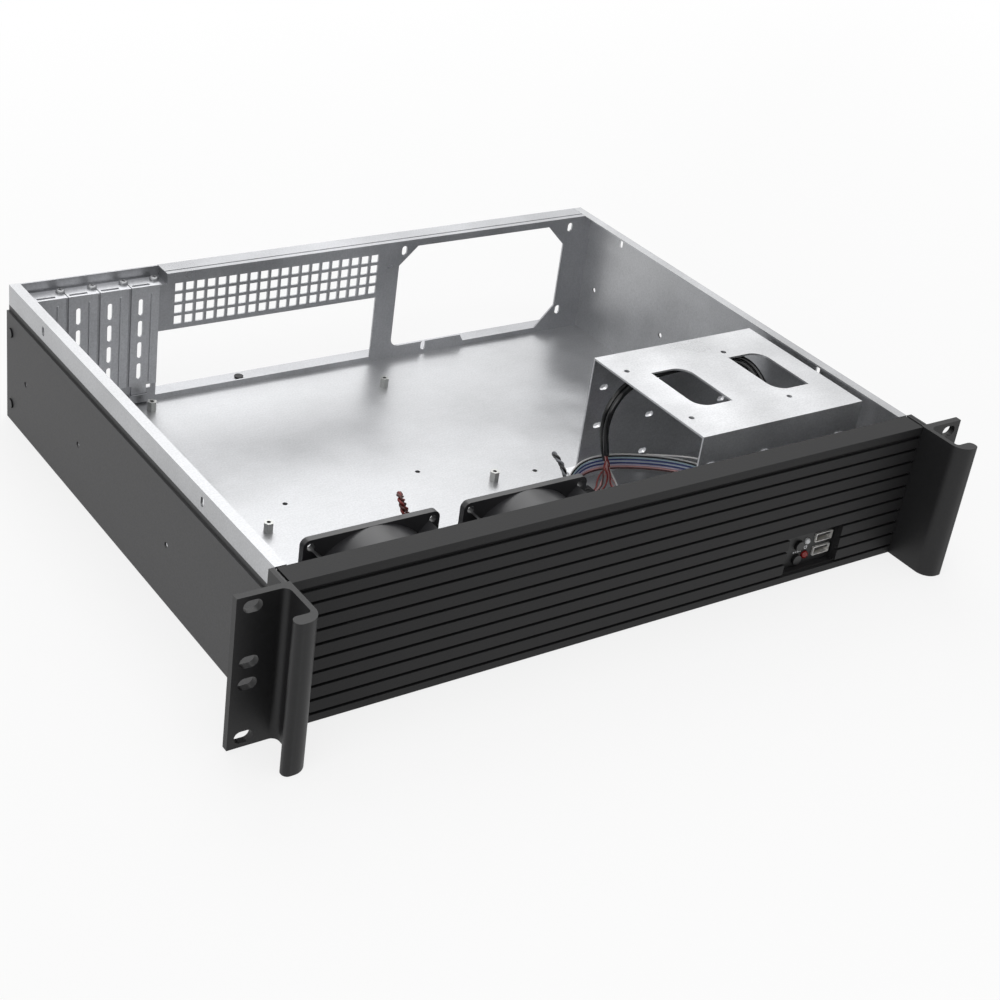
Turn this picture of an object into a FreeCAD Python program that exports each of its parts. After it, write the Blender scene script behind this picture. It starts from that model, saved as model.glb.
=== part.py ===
"""A 2U rackmount server case with its lid off, as a parametric document.

Units are millimetres.  X runs across the case (right, seen from the front), Y runs from
the front to the back and Z is up.  The origin is the middle of the underside.
Folded steel makes the tray, the rear panel, the bulkhead and the drive cage.  Extruded
aluminium makes the grooved fascia and the two handles with their rack ears.
"""
import FreeCAD, Part
import math
import os
import re
import Sketcher

SIZES = [
    # overall
    ("ear_width", 27.3), ("face_rise", 0.2), ("body_width", 428.0), ("body_depth", 347.6),
    ("body_height", 87.9), ("sheet", 1.2), ("fit_gap", 0.2),
    # handle extrusions and their rack slots
    ("ear_thick", 4.0), ("web_thick", 3.0), ("handle_reach", 29.5), ("lip_width", 14.3),
    ("lip_thick", 7.0), ("handle_bend", 9.0), ("root_radius", 4.0), ("lip_round", 3.2),
    ("leg_thick", 2.0), ("ear_slot_inset", 8.75), ("rack_row_far", 38.1),
    ("rack_row_near", 6.35), ("ear_slot_long", 10.2), ("ear_slot_high", 6.9),
    ("handle_screw_low", 14.0), ("handle_screw_pitch", 26.0), ("handle_screw_bore", 2.0),
    # fascia extrusion
    ("fascia_setback", 2.6), ("fascia_thick", 4.0), ("fascia_depth", 14.4),
    ("fascia_flange", 2.5), ("groove_first", 5.45), ("groove_top", 6.67),
    ("groove_count", 10), ("groove_high", 1.8), ("top_groove_high", 2.8), ("groove_deep", 2.0),
    ("air_slot_high", 1.2), ("air_slot_long", 30.0), ("air_slot_pitch", 36.0),
    # side walls
    ("lid_band", 16.4), ("lid_step", 1.5), ("top_flange", 6.5), ("cheek_deep", 17.4),
    ("wall_hole", 3.6), ("wall_hole_z", 35.7), ("wall_hole_y1", 127.0),
    ("wall_hole_y2", 241.4), ("wall_hole_y3", 318.5), ("lid_hole_drop", 6.6),
    ("lid_hole_high", 6.0), ("lid_hole_wide", 3.4), ("lid_hole_y1", 92.5),
    ("lid_hole_y2", 296.0),
    # rear panel
    ("rear_recess", 14.5), ("ledge_drop", 7.0), ("ledge_end", 11.4),
    ("flange_bead", 3.4), ("bead_deep", 0.5), ("io_start", 6.3), ("io_z", 4.9),
    ("io_width", 158.75), ("io_height", 44.45), ("vent_hole", 5.5), ("vent_pitch", 7.46),
    ("vent_columns", 20), ("vent_rows", 4), ("vent_start", 19.75), ("vent_drop", 32.4),
    ("psu_gap", 19.15), ("psu_z", 6.8), ("psu_inset", 20.2), ("psu_drop", 7.1),
    ("psu_low_x", 24.0), ("psu_side_drop", 64.0), ("psu_slot_wide", 4.0),
    ("psu_slot_high", 6.6), ("psu_corner", 12.8), ("psu_round", 6.0), ("rivet_bore", 1.6),
    ("rivet_head", 3.0), ("rivet_high", 1.0),
    # expansion slot covers
    ("board_share", 0.6), ("cover_start", -73.3), ("cover_pitch", 20.32), ("cover_width", 18.42),
    ("cover_thick", 0.9), ("cover_count", 4), ("cover_low", 14.0), ("cover_tab", 11.4),
    ("cover_slot_x", 6.2), ("cover_slot_wide", 2.9), ("cover_slot_high", 10.8),
    ("cover_slot_pitch", 14.65), ("cover_slot_z", 24.3), ("cover_bead_x", 13.2),
    ("window_wide", 12.0), ("cover_screw_x", 18.1), ("small_screw", 1.5),
    ("small_head", 2.8), ("small_head_high", 2.0),
    # bulkhead and fans
    ("fan_room", 7.9), ("fan_deep", 25.0), ("fan_hole_inset", 4.25), ("fan_ring", 2.0),
    ("fan_x", -144.0), ("fan_pitch", 95.0), ("fan_count", 2), ("fan_lift", 0.8),
    ("fan_flange", 3.8), ("fan_corner", 4.0), ("fan_hole", 4.3), ("motor_diameter", 33.0),
    ("motor_plate", 2.6), ("hub_diameter", 34.0), ("hub_wall", 1.4), ("hub_deep", 17.0),
    ("shaft_diameter", 3.0), ("bearing_gap", 0.05), ("blade_count", 7), ("blade_thick", 1.5),
    ("blade_chord", 21.0), ("blade_gap", 1.0), ("blade_root_angle", 48.0),
    ("blade_tip_angle", 30.0),
    # drive cage
    ("cage_inset", 137.5), ("cage_width", 125.5), ("cage_y", 44.0), ("cage_depth", 104.8),
    ("cage_drop", 1.9), ("cage_foot", 11.0), ("drive_hole_x", 10.6),
    ("drive_hole_mid", 41.6), ("drive_hole_far", 101.6), ("drive_hole_z", 11.5),
    ("drive_hole_pitch", 26.6), ("drive_hole", 3.6), ("drive_slot_long", 6.2),
    ("rim_wall", 0.7), ("rim_high", 0.9), ("cage_window_wide", 25.6), ("cage_window_long", 46.0),
    ("cage_window_x", 21.5), ("cage_window_pitch", 61.5), ("cage_window_y", 30.0),
    ("cage_window_round", 10.0), ("disk_hole_x", 8.5), ("disk_hole_y", 21.5),
    ("disk_pitch_x", 76.6), ("disk_pitch_y", 61.72), ("cable_hole_x", 55.0),
    ("cable_hole_wide", 40.0), ("cable_hole_z", 5.0), ("cable_hole_high", 26.0),
    # board supports
    ("board_start", 156.0), ("board_back", 11.8), ("board_corner_back", 22.86),
    ("board_column_2", 157.48), ("board_column_3", 203.2), ("board_row_2", 154.94),
    ("board_row_3", 227.33), ("standoff_high", 6.35), ("standoff_round", 5.4),
    ("standoff_bore", 2.5), ("standoff_pin", 3.0), ("floor_hole", 3.2),
    # front input and output unit
    ("recess_inset", 71.25), ("recess_z", 18.5), ("recess_width", 42.5),
    ("recess_height", 25.8), ("recess_deep", 6.7), ("housing_wall", 1.5),
    ("usb_start", 13.35), ("usb_z", 12.6), ("usb_pitch", 9.2), ("usb_wide", 13.1),
    ("usb_high", 5.7), ("usb_wall", 0.4), ("usb_proud", 1.2), ("board_y", 24.0),
    ("board_thick", 1.6), ("button_start", -5.85), ("button_z", 9.9), ("button_pitch", 9.6),
    ("button_round", 6.2), ("button_proud", 2.0), ("button_travel", 0.8), ("led_start", 0.65),
    ("power_led_z", 20.9), ("drive_led_z", 11.6), ("power_led_round", 4.0),
    ("drive_led_round", 5.0),
    # cords inside the case, their sockets and their plugs
    ("usb_cord", 3.6), ("ribbon_wide", 12.0), ("ribbon_thick", 1.4), ("fan_cord", 2.4),
    ("header_deep", 5.9), ("plug_deep", 8.0),
]

PLACES = [
    # distances from the ears' front face to the origin, and planes across the case
    ("face_y", "(handle_reach - body_depth) / 2"),
    ("rear_y", "face_y + body_depth"),
    ("wall_x", "body_width / 2"),
    ("ear_span", "body_width + 2 * ear_width"),
    ("rack_columns", "ear_span - 2 * ear_slot_inset"),
    ("face_height", "body_height + face_rise"),
    ("lid_step_z", "body_height - lid_band"),
    ("web_x", "wall_x - 2 * sheet"),
    ("skirt_x", "wall_x - lid_step - sheet"),
    ("fascia_y", "face_y + fascia_setback"),
    ("fascia_x", "web_x - fit_gap"),
    ("fascia_back", "fascia_y + fascia_thick"),
    ("bulkhead_y", "fascia_y + fascia_depth"),
    ("fan_y", "bulkhead_y + sheet"),
    ("fan_back", "fan_y + fan_deep"),
    ("fan_size", "body_height - fan_room"),
    ("fan_bore", "fan_size - 2 * fan_ring"),
    ("fan_hole_pitch", "fan_size - 2 * fan_hole_inset"),
    ("fan_z", "sheet + fan_lift + fan_size / 2"),
    ("panel_y", "rear_y - rear_recess"),
    ("ledge_z", "body_height - ledge_drop"),
    ("groove_pitch", "(body_height - groove_first - groove_top) / (groove_count - 1)"),
    # the covers, the ports and the board keep together, nearer to the left wall
    ("board_side_x", "-(wall_x * board_share)"),
    ("cover_x", "board_side_x + cover_start"),
    ("ledge_end_x", "board_side_x + ledge_end"),
    ("io_x", "board_side_x + io_start"),
    ("vent_x", "board_side_x + vent_start"),
    ("vent_z", "body_height - vent_drop"),
    ("board_x", "board_side_x + board_start"),
    ("psu_x", "io_x + io_width + psu_gap"),
    ("psu_pitch_x", "wall_x - psu_inset - psu_x"),
    ("psu_pitch_z", "body_height - psu_drop - psu_z"),
    ("cage_front", "face_y + cage_y"),
    ("cage_back", "face_y + cage_y + cage_depth"),
    ("cage_x", "wall_x - cage_inset"),
    ("cage_end", "cage_x + cage_width"),
    ("cage_height", "body_height - cage_drop"),
    ("recess_x", "wall_x - recess_inset"),
    ("usb_x", "recess_x + usb_start"),
    ("button_x", "recess_x + button_start"),
    ("led_x", "recess_x + led_start"),
    ("plate_y", "fascia_y + recess_deep"),
    ("circuit_y", "face_y + board_y"),
    ("cheek_y", "face_y + cheek_deep"),
]

doc = FreeCAD.newDocument("rack_case")
sheet = doc.addObject("Spreadsheet::Sheet", "Size")
for row, (alias, number) in enumerate(SIZES, start=1):
    sheet.set("A%d" % row, alias)
    sheet.set("B%d" % row, "%g" % number)
    sheet.setAlias("B%d" % row, alias)
doc.recompute()

KNOWN = {alias: "Size." + alias for alias, number in SIZES}
places = doc.addObject("App::VarSet", "Places")


def bound(text):
    """Spells a sum of size names as an expression on the sheet and the places."""
    return re.sub(r"[a-z][a-z0-9_]*", lambda word: KNOWN.get(word.group(), word.group()), text)


for place, text in PLACES:
    places.addProperty("App::PropertyFloat", place)
    places.setExpression(place, bound(text))
    KNOWN[place] = "Places." + place
doc.recompute()

NODES = []
AXIS_TURN = {
    "x": FreeCAD.Rotation(FreeCAD.Vector(0, 1, 0), 90),
    "y": FreeCAD.Rotation(FreeCAD.Vector(1, 0, 0), -90),
    "z": FreeCAD.Rotation(),
}


def size(name):
    """The number that a size or a place holds."""
    if hasattr(places, name):
        return getattr(places, name)
    return float(sheet.get(name))


def node(solid, label):
    """Names a finished sub-part, which gives its file the same name."""
    solid.Label = label
    NODES.append(solid)
    return solid


def seat(solid, centre):
    """Binds the base of an object's placement to three expressions."""
    for axis, text in zip("xyz", centre):
        solid.setExpression("Placement.Base." + axis, bound(text))


def block(name, x, y, z):
    """A box between two places along each axis."""
    solid = doc.addObject("Part::Box", name)
    for side, (low, high) in zip(("Length", "Width", "Height"), (x, y, z)):
        solid.setExpression(side, bound("(%s) - (%s)" % (high, low)))
    seat(solid, (x[0], y[0], z[0]))
    return solid


def rod(name, axis, base, radius, length):
    """A cylinder that starts at a base point and runs along an axis."""
    solid = doc.addObject("Part::Cylinder", name)
    solid.Placement = FreeCAD.Placement(FreeCAD.Vector(), AXIS_TURN[axis])
    solid.setExpression("Radius", bound(radius))
    solid.setExpression("Height", bound(length))
    seat(solid, base)
    return solid


def cone(name, axis, base, radius, end_radius, length):
    """A cone that starts at a base point and runs along an axis."""
    solid = doc.addObject("Part::Cone", name)
    solid.Placement = FreeCAD.Placement(FreeCAD.Vector(), AXIS_TURN[axis])
    solid.setExpression("Radius1", bound(radius))
    solid.setExpression("Radius2", bound(end_radius))
    solid.setExpression("Height", bound(length))
    seat(solid, base)
    return solid


def joined(name, pieces):
    """One solid fused from several."""
    solid = doc.addObject("Part::MultiFuse", name)
    solid.Shapes = pieces
    solid.Refine = True
    return solid


def together(name, pieces):
    """A group of separate solids."""
    group = doc.addObject("Part::Compound", name)
    group.Links = pieces
    return group


def less(name, base, tools):
    """A solid with other shapes cut out of it."""
    solid = doc.addObject("Part::Cut", name)
    solid.Base = base
    solid.Tool = tools[0] if len(tools) == 1 else together(name + "_tools", tools)
    return solid


def sided(side, low, high):
    """A span across X on the left (-1) or the right (1) of the case."""
    return (low, high) if side > 0 else ("-(%s)" % high, "-(%s)" % low)


def obround(name, axis, centre, half_long, radius, run, length):
    """A slot with round ends, along an axis, longest along run."""
    ends = []
    low, high = dict(zip("xyz", ((c, c) for c in centre))), None
    for sign in ("-", "+"):
        at = list(centre)
        spot = "xyz".index(run)
        at[spot] = "%s %s (%s)" % (centre[spot], sign, half_long)
        ends.append(rod("%s_end" % name, axis, at, radius, length))
    spans = {}
    for letter, text in zip("xyz", centre):
        reach = half_long if letter == run else radius
        spans[letter] = ("%s - (%s)" % (text, reach), "%s + (%s)" % (text, reach))
    start = centre["xyz".index(axis)]
    spans[axis] = (start, "%s + (%s)" % (start, length))
    ends.append(block("%s_middle" % name, spans["x"], spans["y"], spans["z"]))
    return joined(name, ends)


def outline(body, name, plane, corners):
    """A closed sketch of straight sides on an origin plane, every corner placed by the sheet."""
    sketch = body.newObject("Sketcher::SketchObject", name)
    origin = [part for part in body.Origin.OriginFeatures if part.Role == plane][0]
    sketch.AttachmentSupport = [(origin, "")]
    sketch.MapMode = "FlatFace"
    spots = [FreeCAD.Vector(10 * math.cos(2 * math.pi * turn / len(corners)),
                            10 * math.sin(2 * math.pi * turn / len(corners)), 0)
             for turn in range(len(corners))]
    count = len(corners)
    for index in range(count):
        sketch.addGeometry(Part.LineSegment(spots[index], spots[(index + 1) % count]))
    for index in range(count):
        sketch.addConstraint(Sketcher.Constraint("Coincident", index, 2, (index + 1) % count, 1))
    for index, corner in enumerate(corners):
        for kind, text in zip(("DistanceX", "DistanceY"), corner):
            place = sketch.addConstraint(Sketcher.Constraint(kind, -1, 1, index, 1, 1.0))
            sketch.setExpression("Constraints[%d]" % place, bound(text))
    return sketch


def upright_edges(feature, spots, reach=0.05):
    """Names of a padded shape's edges along Z that stand at the given X, Y places."""
    names = []
    for index, edge in enumerate(feature.Shape.Edges, start=1):
        low, high = edge.Vertexes[0].Point, edge.Vertexes[-1].Point
        if math.hypot(low.x - high.x, low.y - high.y) > reach:
            continue
        if any(math.hypot(low.x - x, low.y - y) < reach for x, y in spots):
            names.append("Edge%d" % index)
    return names


def rounded(body, name, spots, radius):
    """Rounds the upright edges at the given places by a size of the sheet."""
    base = body.Tip
    fillet = body.newObject("PartDesign::Fillet", name)
    fillet.Base = (base, upright_edges(base, spots))
    fillet.setExpression("Radius", bound(radius))
    doc.recompute()
    return fillet


# ---------------------------------------------------------------- tray

def wall_holes(side):
    """Holes through one side wall: slide rail, lid, handle and rear rivets."""
    outer = "wall_x" if side > 0 else "-wall_x"
    start = "%s - 4 * sheet" % outer if side > 0 else "%s - sheet" % outer
    length = "5 * sheet + lid_step"
    tools = []
    for number in (1, 2, 3):
        spot = (start, "face_y + wall_hole_y%d" % number, "wall_hole_z")
        tools.append(rod("rail_hole", "x", spot, "wall_hole / 2", length))
    for number in (1, 2):
        spot = (start, "face_y + lid_hole_y%d" % number, "body_height - lid_hole_drop")
        tools.append(obround("lid_hole", "x", spot, "(lid_hole_high - lid_hole_wide) / 2",
                             "lid_hole_wide / 2", "z", length))
    for spot in handle_screw_spots(start):
        tools.append(rod("handle_hole", "x", spot, "handle_screw_bore + fit_gap / 2", length))
    for spot in side_rivet_spots(start):
        tools.append(rod("rivet_hole", "x", spot, "rivet_bore", length))
    return tools


def handle_screw_spots(x):
    """Three screws one above the other through each handle's leg."""
    spots = []
    for number in range(3):
        height = "handle_screw_low + %d * handle_screw_pitch" % number
        spots.append((x, "(face_y + ear_thick + bulkhead_y) / 2", height))
    return spots


def side_rivet_spots(x):
    """Two rivets through each side wall into the rear panel's side flange."""
    middle = "(panel_y + sheet + rear_y) / 2"
    return [(x, middle, "lid_step_z / 6"), (x, middle, "lid_step_z * 5 / 6")]


def board_spots():
    """Where the main board is held: three columns by three rows."""
    spots = []
    back = "panel_y - board_back"
    for column, step in enumerate(("0", "board_column_2", "board_column_3")):
        for row, fall in enumerate(("0", "board_row_2", "board_row_3")):
            if column == 0 and row == 0:
                fall = "board_corner_back"
            spots.append(("board_x - %s" % step, "%s - %s" % (back, fall)))
    return spots


def floor_holes():
    """Holes through the floor: standoff pins, cage screws, rivets and three spares."""
    tools = []
    for x, y in board_spots():
        tools.append(rod("pin_hole", "z", (x, y, "-sheet"), "standoff_pin / 2 + fit_gap / 2", "3 * sheet"))
    spares = (("board_x - board_column_2 * 0.85", "panel_y - board_back - board_row_2 * 0.85"),
              ("board_x - board_column_2 / 4", "panel_y - board_back - board_row_2 * 0.83"),
              ("board_x + board_column_2 / 5", "panel_y - board_back - board_row_2"))
    for x, y in spares:
        tools.append(rod("spare_hole", "z", (x, y, "-sheet"), "floor_hole / 2", "3 * sheet"))
    for x, y in cage_screw_spots():
        tools.append(rod("cage_hole", "z", (x, y, "-sheet"), "small_screw + fit_gap / 2", "3 * sheet"))
    for x, y in rear_rivet_spots():
        tools.append(rod("rear_hole", "z", (x, y, "-sheet"), "rivet_bore", "3 * sheet"))
    return tools


def cage_screw_spots():
    """Two screws in each foot of the drive cage."""
    spots = []
    for x in ("cage_x + cage_width / 6", "cage_end - cage_width / 6"):
        spots.append((x, "cage_front - cage_foot / 2"))
        spots.append((x, "cage_back + cage_foot / 2"))
    return spots


def rear_rivet_spots():
    """Four rivets through the rear panel's bottom flange."""
    middle = "(panel_y + sheet + rear_y) / 2"
    return [("io_x - cover_pitch", middle), ("io_x + io_width * 0.4", middle),
            ("(io_x + io_width + psu_x) / 2", middle), ("psu_x + psu_pitch_x", middle)]


def make_tray():
    """Floor and side walls, folded from one sheet, with the sides stepped in for a lid."""
    pieces = [block("floor", ("-wall_x", "wall_x"), ("bulkhead_y", "rear_y"), ("0", "sheet"))]
    for side in (-1, 1):
        tall = ("face_y + ear_thick", "rear_y")
        skirt = ("cheek_y", "rear_y")
        wall = sided(side, "wall_x - sheet", "wall_x")
        pieces.append(block("wall", wall, tall, ("0", "lid_step_z")))
        pieces.append(block("cheek", wall, ("face_y + ear_thick", "cheek_y"),
                            ("lid_step_z - sheet", "body_height")))
        pieces.append(block("step", sided(side, "skirt_x", "wall_x"), skirt,
                            ("lid_step_z - sheet", "lid_step_z")))
        pieces.append(block("skirt", sided(side, "skirt_x", "skirt_x + sheet"), skirt,
                            ("lid_step_z - sheet", "body_height")))
        pieces.append(block("rim", sided(side, "skirt_x + sheet - top_flange", "skirt_x + sheet"),
                            skirt, ("body_height - sheet", "body_height")))
    tools = wall_holes(-1) + wall_holes(1) + floor_holes()
    node(less("Tray", joined("tray_sheet", pieces), tools), "chassis_tray")


# ---------------------------------------------------------------- rear panel

def cover_left(index):
    """The left edge of one expansion slot cover."""
    return "cover_x + %d * cover_pitch" % index


def psu_opening():
    """The power supply cut-out: three corners cut off, one rounded, and a raised end."""
    body = doc.addObject("PartDesign::Body", "PsuOpening")
    left, right = "psu_x - 3.1", "psu_x + psu_pitch_x - 3.7"
    top, low, step = "psu_z + psu_pitch_z + 2.2", "psu_z - 1.8", "psu_z + 3"
    corners = [
        ("psu_x + psu_low_x * 2.1 + 4", step), ("%s + psu_round" % left, step),
        (left, "%s + psu_round" % step), (left, "%s - psu_corner" % top),
        ("%s + psu_corner + 1" % left, top), ("%s - psu_corner - 2" % right, top),
        (right, "%s - psu_corner - 2" % top), (right, "%s + psu_corner + 3" % low),
        ("%s - psu_corner - 2" % right, low), ("psu_x + psu_low_x * 2.3 + 2", low),
    ]
    sketch = outline(body, "psu_sketch", "XZ_Plane", corners)
    pad = body.newObject("PartDesign::Pad", "psu_pad")
    pad.Profile = sketch
    pad.setExpression("Length", bound("4 * sheet"))
    doc.recompute()
    seat(body, ("0", "panel_y + 3 * sheet", "0"))
    spot = ("%s + psu_round" % left, "panel_y - sheet", "%s + psu_round" % step)
    return joined("psu_cut", [body, rod("psu_corner_round", "y", spot, "psu_round", "4 * sheet")])


def psu_slots():
    """Four upright screw slots round the power supply cut-out."""
    top = "psu_z + psu_pitch_z"
    spots = (("psu_x", top), ("psu_x + psu_pitch_x", top),
             ("psu_x + psu_pitch_x", "%s - psu_side_drop" % top), ("psu_x + psu_low_x", "psu_z"))
    return [obround("psu_slot", "y", (x, "panel_y - sheet", z),
                    "(psu_slot_high - psu_slot_wide) / 2", "psu_slot_wide / 2", "z", "3 * sheet")
            for x, z in spots]


def vent_squares():
    """The square ventilation holes in rows above the main board's cut-out."""
    holes = []
    for column in range(int(size("vent_columns"))):
        for row in range(int(size("vent_rows"))):
            x = "vent_x + %d * vent_pitch" % column
            z = "vent_z + %d * vent_pitch" % row
            holes.append(block("vent", ("%s - vent_hole / 2" % x, "%s + vent_hole / 2" % x),
                               ("panel_y - sheet", "panel_y + 2 * sheet"),
                               ("%s - vent_hole / 2" % z, "%s + vent_hole / 2" % z)))
    return holes


def slot_windows():
    """One tall window for each expansion slot, a notch above it and its screw hole."""
    tools = []
    for index in range(int(size("cover_count"))):
        left = "%s + (cover_width - window_wide) / 2" % cover_left(index)
        tools.append(block("window", (left, "%s + window_wide" % left),
                           ("panel_y - sheet", "panel_y + 2 * sheet"),
                           ("cover_low - 3", "ledge_z - 3 * sheet")))
        notch = "%s + fit_gap" % cover_left(index)
        tools.append(block("notch", (notch, "%s + window_wide" % notch),
                           ("panel_y + sheet", "panel_y + 2.6 * sheet"),
                           ("ledge_z - 2 * sheet", "ledge_z + sheet")))
        spot = ("%s + cover_screw_x" % cover_left(index), "panel_y + cover_tab * 0.62", "ledge_z - 2 * sheet")
        tools.append(rod("cover_hole", "z", spot, "small_screw + fit_gap / 2", "3 * sheet"))
    return tools


def tongue_pockets():
    """A lanced strip at the foot of each window, which holds the end of a slot cover."""
    pieces = []
    for index in range(int(size("cover_count"))):
        left = cover_left(index)
        right = "%s + window_wide + sheet" % left
        deep = "panel_y - cover_thick - 2 * fit_gap"
        height = ("2 * sheet + fit_gap", "cover_low * 0.57")
        pieces.append(block("pocket", (left, right), ("%s - sheet" % deep, deep), height))
        pieces.append(block("pocket_end", (left, "%s + sheet" % left), (deep, "panel_y"), height))
        pieces.append(block("pocket_end", ("%s - sheet" % right, right), (deep, "panel_y"), height))
    return pieces


def make_rear_panel():
    """The recessed rear wall with its flanges, cut-outs, vents and slot ledge."""
    thick = ("panel_y", "panel_y + sheet")
    out = ("panel_y", "rear_y")
    inner = "wall_x - sheet"
    end = "ledge_end_x"
    rim = "skirt_x + sheet - top_flange - fit_gap"
    pieces = [
        block("web_low", ("-(%s)" % inner, inner), thick, ("sheet", "lid_step_z - sheet")),
        block("web_ledge", ("-skirt_x", end), thick, ("sheet", "ledge_z")),
        block("web_high", (end, "skirt_x"), thick, ("sheet", "body_height - sheet")),
        block("top", (end, rim), out, ("body_height - sheet", "body_height")),
        block("ledge", ("-skirt_x", end), out, ("ledge_z - sheet", "ledge_z")),
        block("ledge_wall", (end, "%s + sheet" % end), out, ("ledge_z - sheet", "body_height")),
        block("upstand", ("-(%s)" % rim, end), ("rear_y - sheet", "rear_y"),
              ("ledge_z - sheet", "body_height - fit_gap")),
        block("bottom", ("-(%s)" % inner, inner), out, ("sheet", "2 * sheet")),
    ]
    for side in (-1, 1):
        pieces.append(block("flange", sided(side, "wall_x - 2 * sheet", inner), out,
                            ("sheet", "lid_step_z - 2 * sheet")))
    pieces += tongue_pockets()
    opening = block("io_opening", ("io_x", "io_x + io_width"), ("panel_y - sheet", "panel_y + 2 * sheet"),
                    ("io_z", "io_z + io_height"))
    bead = block("bead", (end, rim), ("panel_y + flange_bead", "panel_y + flange_bead + 2 * bead_deep"),
                 ("body_height - bead_deep", "body_height + sheet"))
    tools = [opening, bead, psu_opening()] + psu_slots() + slot_windows() + vent_squares()
    for side in (-1, 1):
        start = "wall_x - 3 * sheet" if side > 0 else "-wall_x"
        for spot in side_rivet_spots(start):
            tools.append(rod("flange_hole", "x", spot, "rivet_bore", "3 * sheet"))
    for x, y in rear_rivet_spots():
        tools.append(rod("bottom_hole", "z", (x, y, "0"), "rivet_bore", "3 * sheet"))
    node(less("RearPanel", joined("rear_sheet", pieces), tools), "rear_panel")


def make_slot_covers():
    """Vented covers with a bent tab, each in its own slot, and their small screws."""
    screws = []
    for index in range(int(size("cover_count"))):
        left = cover_left(index)
        right = "%s + cover_width" % left
        face = ("panel_y - cover_thick", "panel_y")
        tongue = ("%s + sheet + 2 * fit_gap" % left, "%s + window_wide - 2 * fit_gap" % left)
        bead = "%s + cover_bead_x" % left
        plate = joined("cover_sheet", [
            block("face", (left, right), face, ("cover_low", "ledge_z + cover_thick")),
            block("tongue", tongue, face, ("2 * sheet + fit_gap", "cover_low")),
            block("tab", (left, "%s + cover_screw_x + 1.6" % left),
                  ("panel_y - cover_thick", "panel_y + cover_tab"),
                  ("ledge_z", "ledge_z + cover_thick")),
            rod("bead", "z", (bead, "panel_y - cover_thick", "cover_low + 2"), "0.6",
                "ledge_z - cover_low - 6"),
        ])
        tools = [block("bend_slot", ("%s + cover_slot_x / 5" % left, "%s + cover_slot_x / 5 + 11.6" % left),
                       ("panel_y + cover_thick", "panel_y + 3.2 * cover_thick"),
                       ("ledge_z - 1", "ledge_z + 2 * cover_thick"))]
        for row in range(4):
            spot = ("%s + cover_slot_x" % left, "panel_y - 2 * cover_thick",
                    "cover_slot_z + %d * cover_slot_pitch" % row)
            tools.append(obround("cover_slot", "y", spot, "(cover_slot_high - cover_slot_wide) / 2",
                                 "cover_slot_wide / 2", "z", "4 * cover_thick"))
        screw = ("%s + cover_screw_x" % left, "panel_y + cover_tab * 0.62")
        tools.append(rod("screw_notch", "z", screw + ("ledge_z - 1",), "small_screw + fit_gap", "3"))
        node(less("SlotCover%d" % (index + 1), plate, tools), "slot_cover_%d" % (index + 1))
        screws.append(pan_screw("cover_screw", "z", screw + ("ledge_z + cover_thick",), "5"))
    node(together("SlotCoverScrews", screws), "slot_cover_screws")


def pan_screw(name, axis, seat_point, reach, up=True):
    """A small round-headed screw whose head sits on a surface and whose shank goes back."""
    spot = "xyz".index(axis)
    back = list(seat_point)
    back[spot] = "%s - (%s)" % (seat_point[spot], reach)
    if not up:
        back[spot] = seat_point[spot]
    shank = rod(name + "_shank", axis, back, "small_screw", reach)
    head_base = list(seat_point)
    if not up:
        head_base[spot] = "%s - small_head_high" % seat_point[spot]
    head = rod(name + "_head", axis, head_base, "small_head", "small_head_high")
    return joined(name, [shank, head])


def make_rivets():
    """Blind rivets that hold the rear panel in the tray."""
    rivets = []
    for side in (-1, 1):
        face = "wall_x" if side > 0 else "-wall_x - rivet_high"
        start = "wall_x - 3 * sheet" if side > 0 else "-wall_x"
        for head, shank in zip(side_rivet_spots(face), side_rivet_spots(start)):
            rivets.append(joined("side_rivet", [rod("head", "x", head, "rivet_head", "rivet_high"),
                                                rod("shank", "x", shank, "rivet_bore - fit_gap / 4", "3 * sheet")]))
    for x, y in rear_rivet_spots():
        rivets.append(joined("floor_rivet", [
            rod("head", "z", (x, y, "2 * sheet"), "rivet_head", "rivet_high"),
            rod("shank", "z", (x, y, "0"), "rivet_bore - fit_gap / 4", "2 * sheet + rivet_high")]))
    node(together("PanelRivets", rivets), "panel_rivets")


# ---------------------------------------------------------------- front

def make_fascia():
    """The grooved front, a channel extrusion with an opening for the front sockets."""
    across = ("-fascia_x", "fascia_x")
    deep = ("fascia_y", "bulkhead_y")
    low, high = "fit_gap", "body_height - fit_gap"
    pieces = [
        block("front", across, ("fascia_y", "fascia_back"), (low, high)),
        block("top_lip", across, deep, ("%s - fascia_flange" % high, high)),
        block("bottom_lip", across, deep, (low, "%s + fascia_flange" % low)),
    ]
    count = int(size("groove_count"))
    tools = []
    for index in range(count):
        tall = "top_groove_high" if index == count - 1 else "groove_high"
        middle = "groove_first + %d * groove_pitch" % index
        tools.append(block("groove", across, ("fascia_y - 1", "fascia_y + groove_deep"),
                           ("%s - %s / 2" % (middle, tall), "%s + %s / 2" % (middle, tall))))
    body = less("fascia_grooved", joined("fascia_channel", pieces), tools)
    opening = block("socket_opening",
                    ("recess_x - recess_width / 2", "recess_x + recess_width / 2"),
                    ("fascia_y - 1", "fascia_back + 1"),
                    ("recess_z - recess_height / 2", "recess_z + recess_height / 2"))
    node(less("Fascia", body, [opening, together("air_slots", air_slots())]), "fascia")


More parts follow.
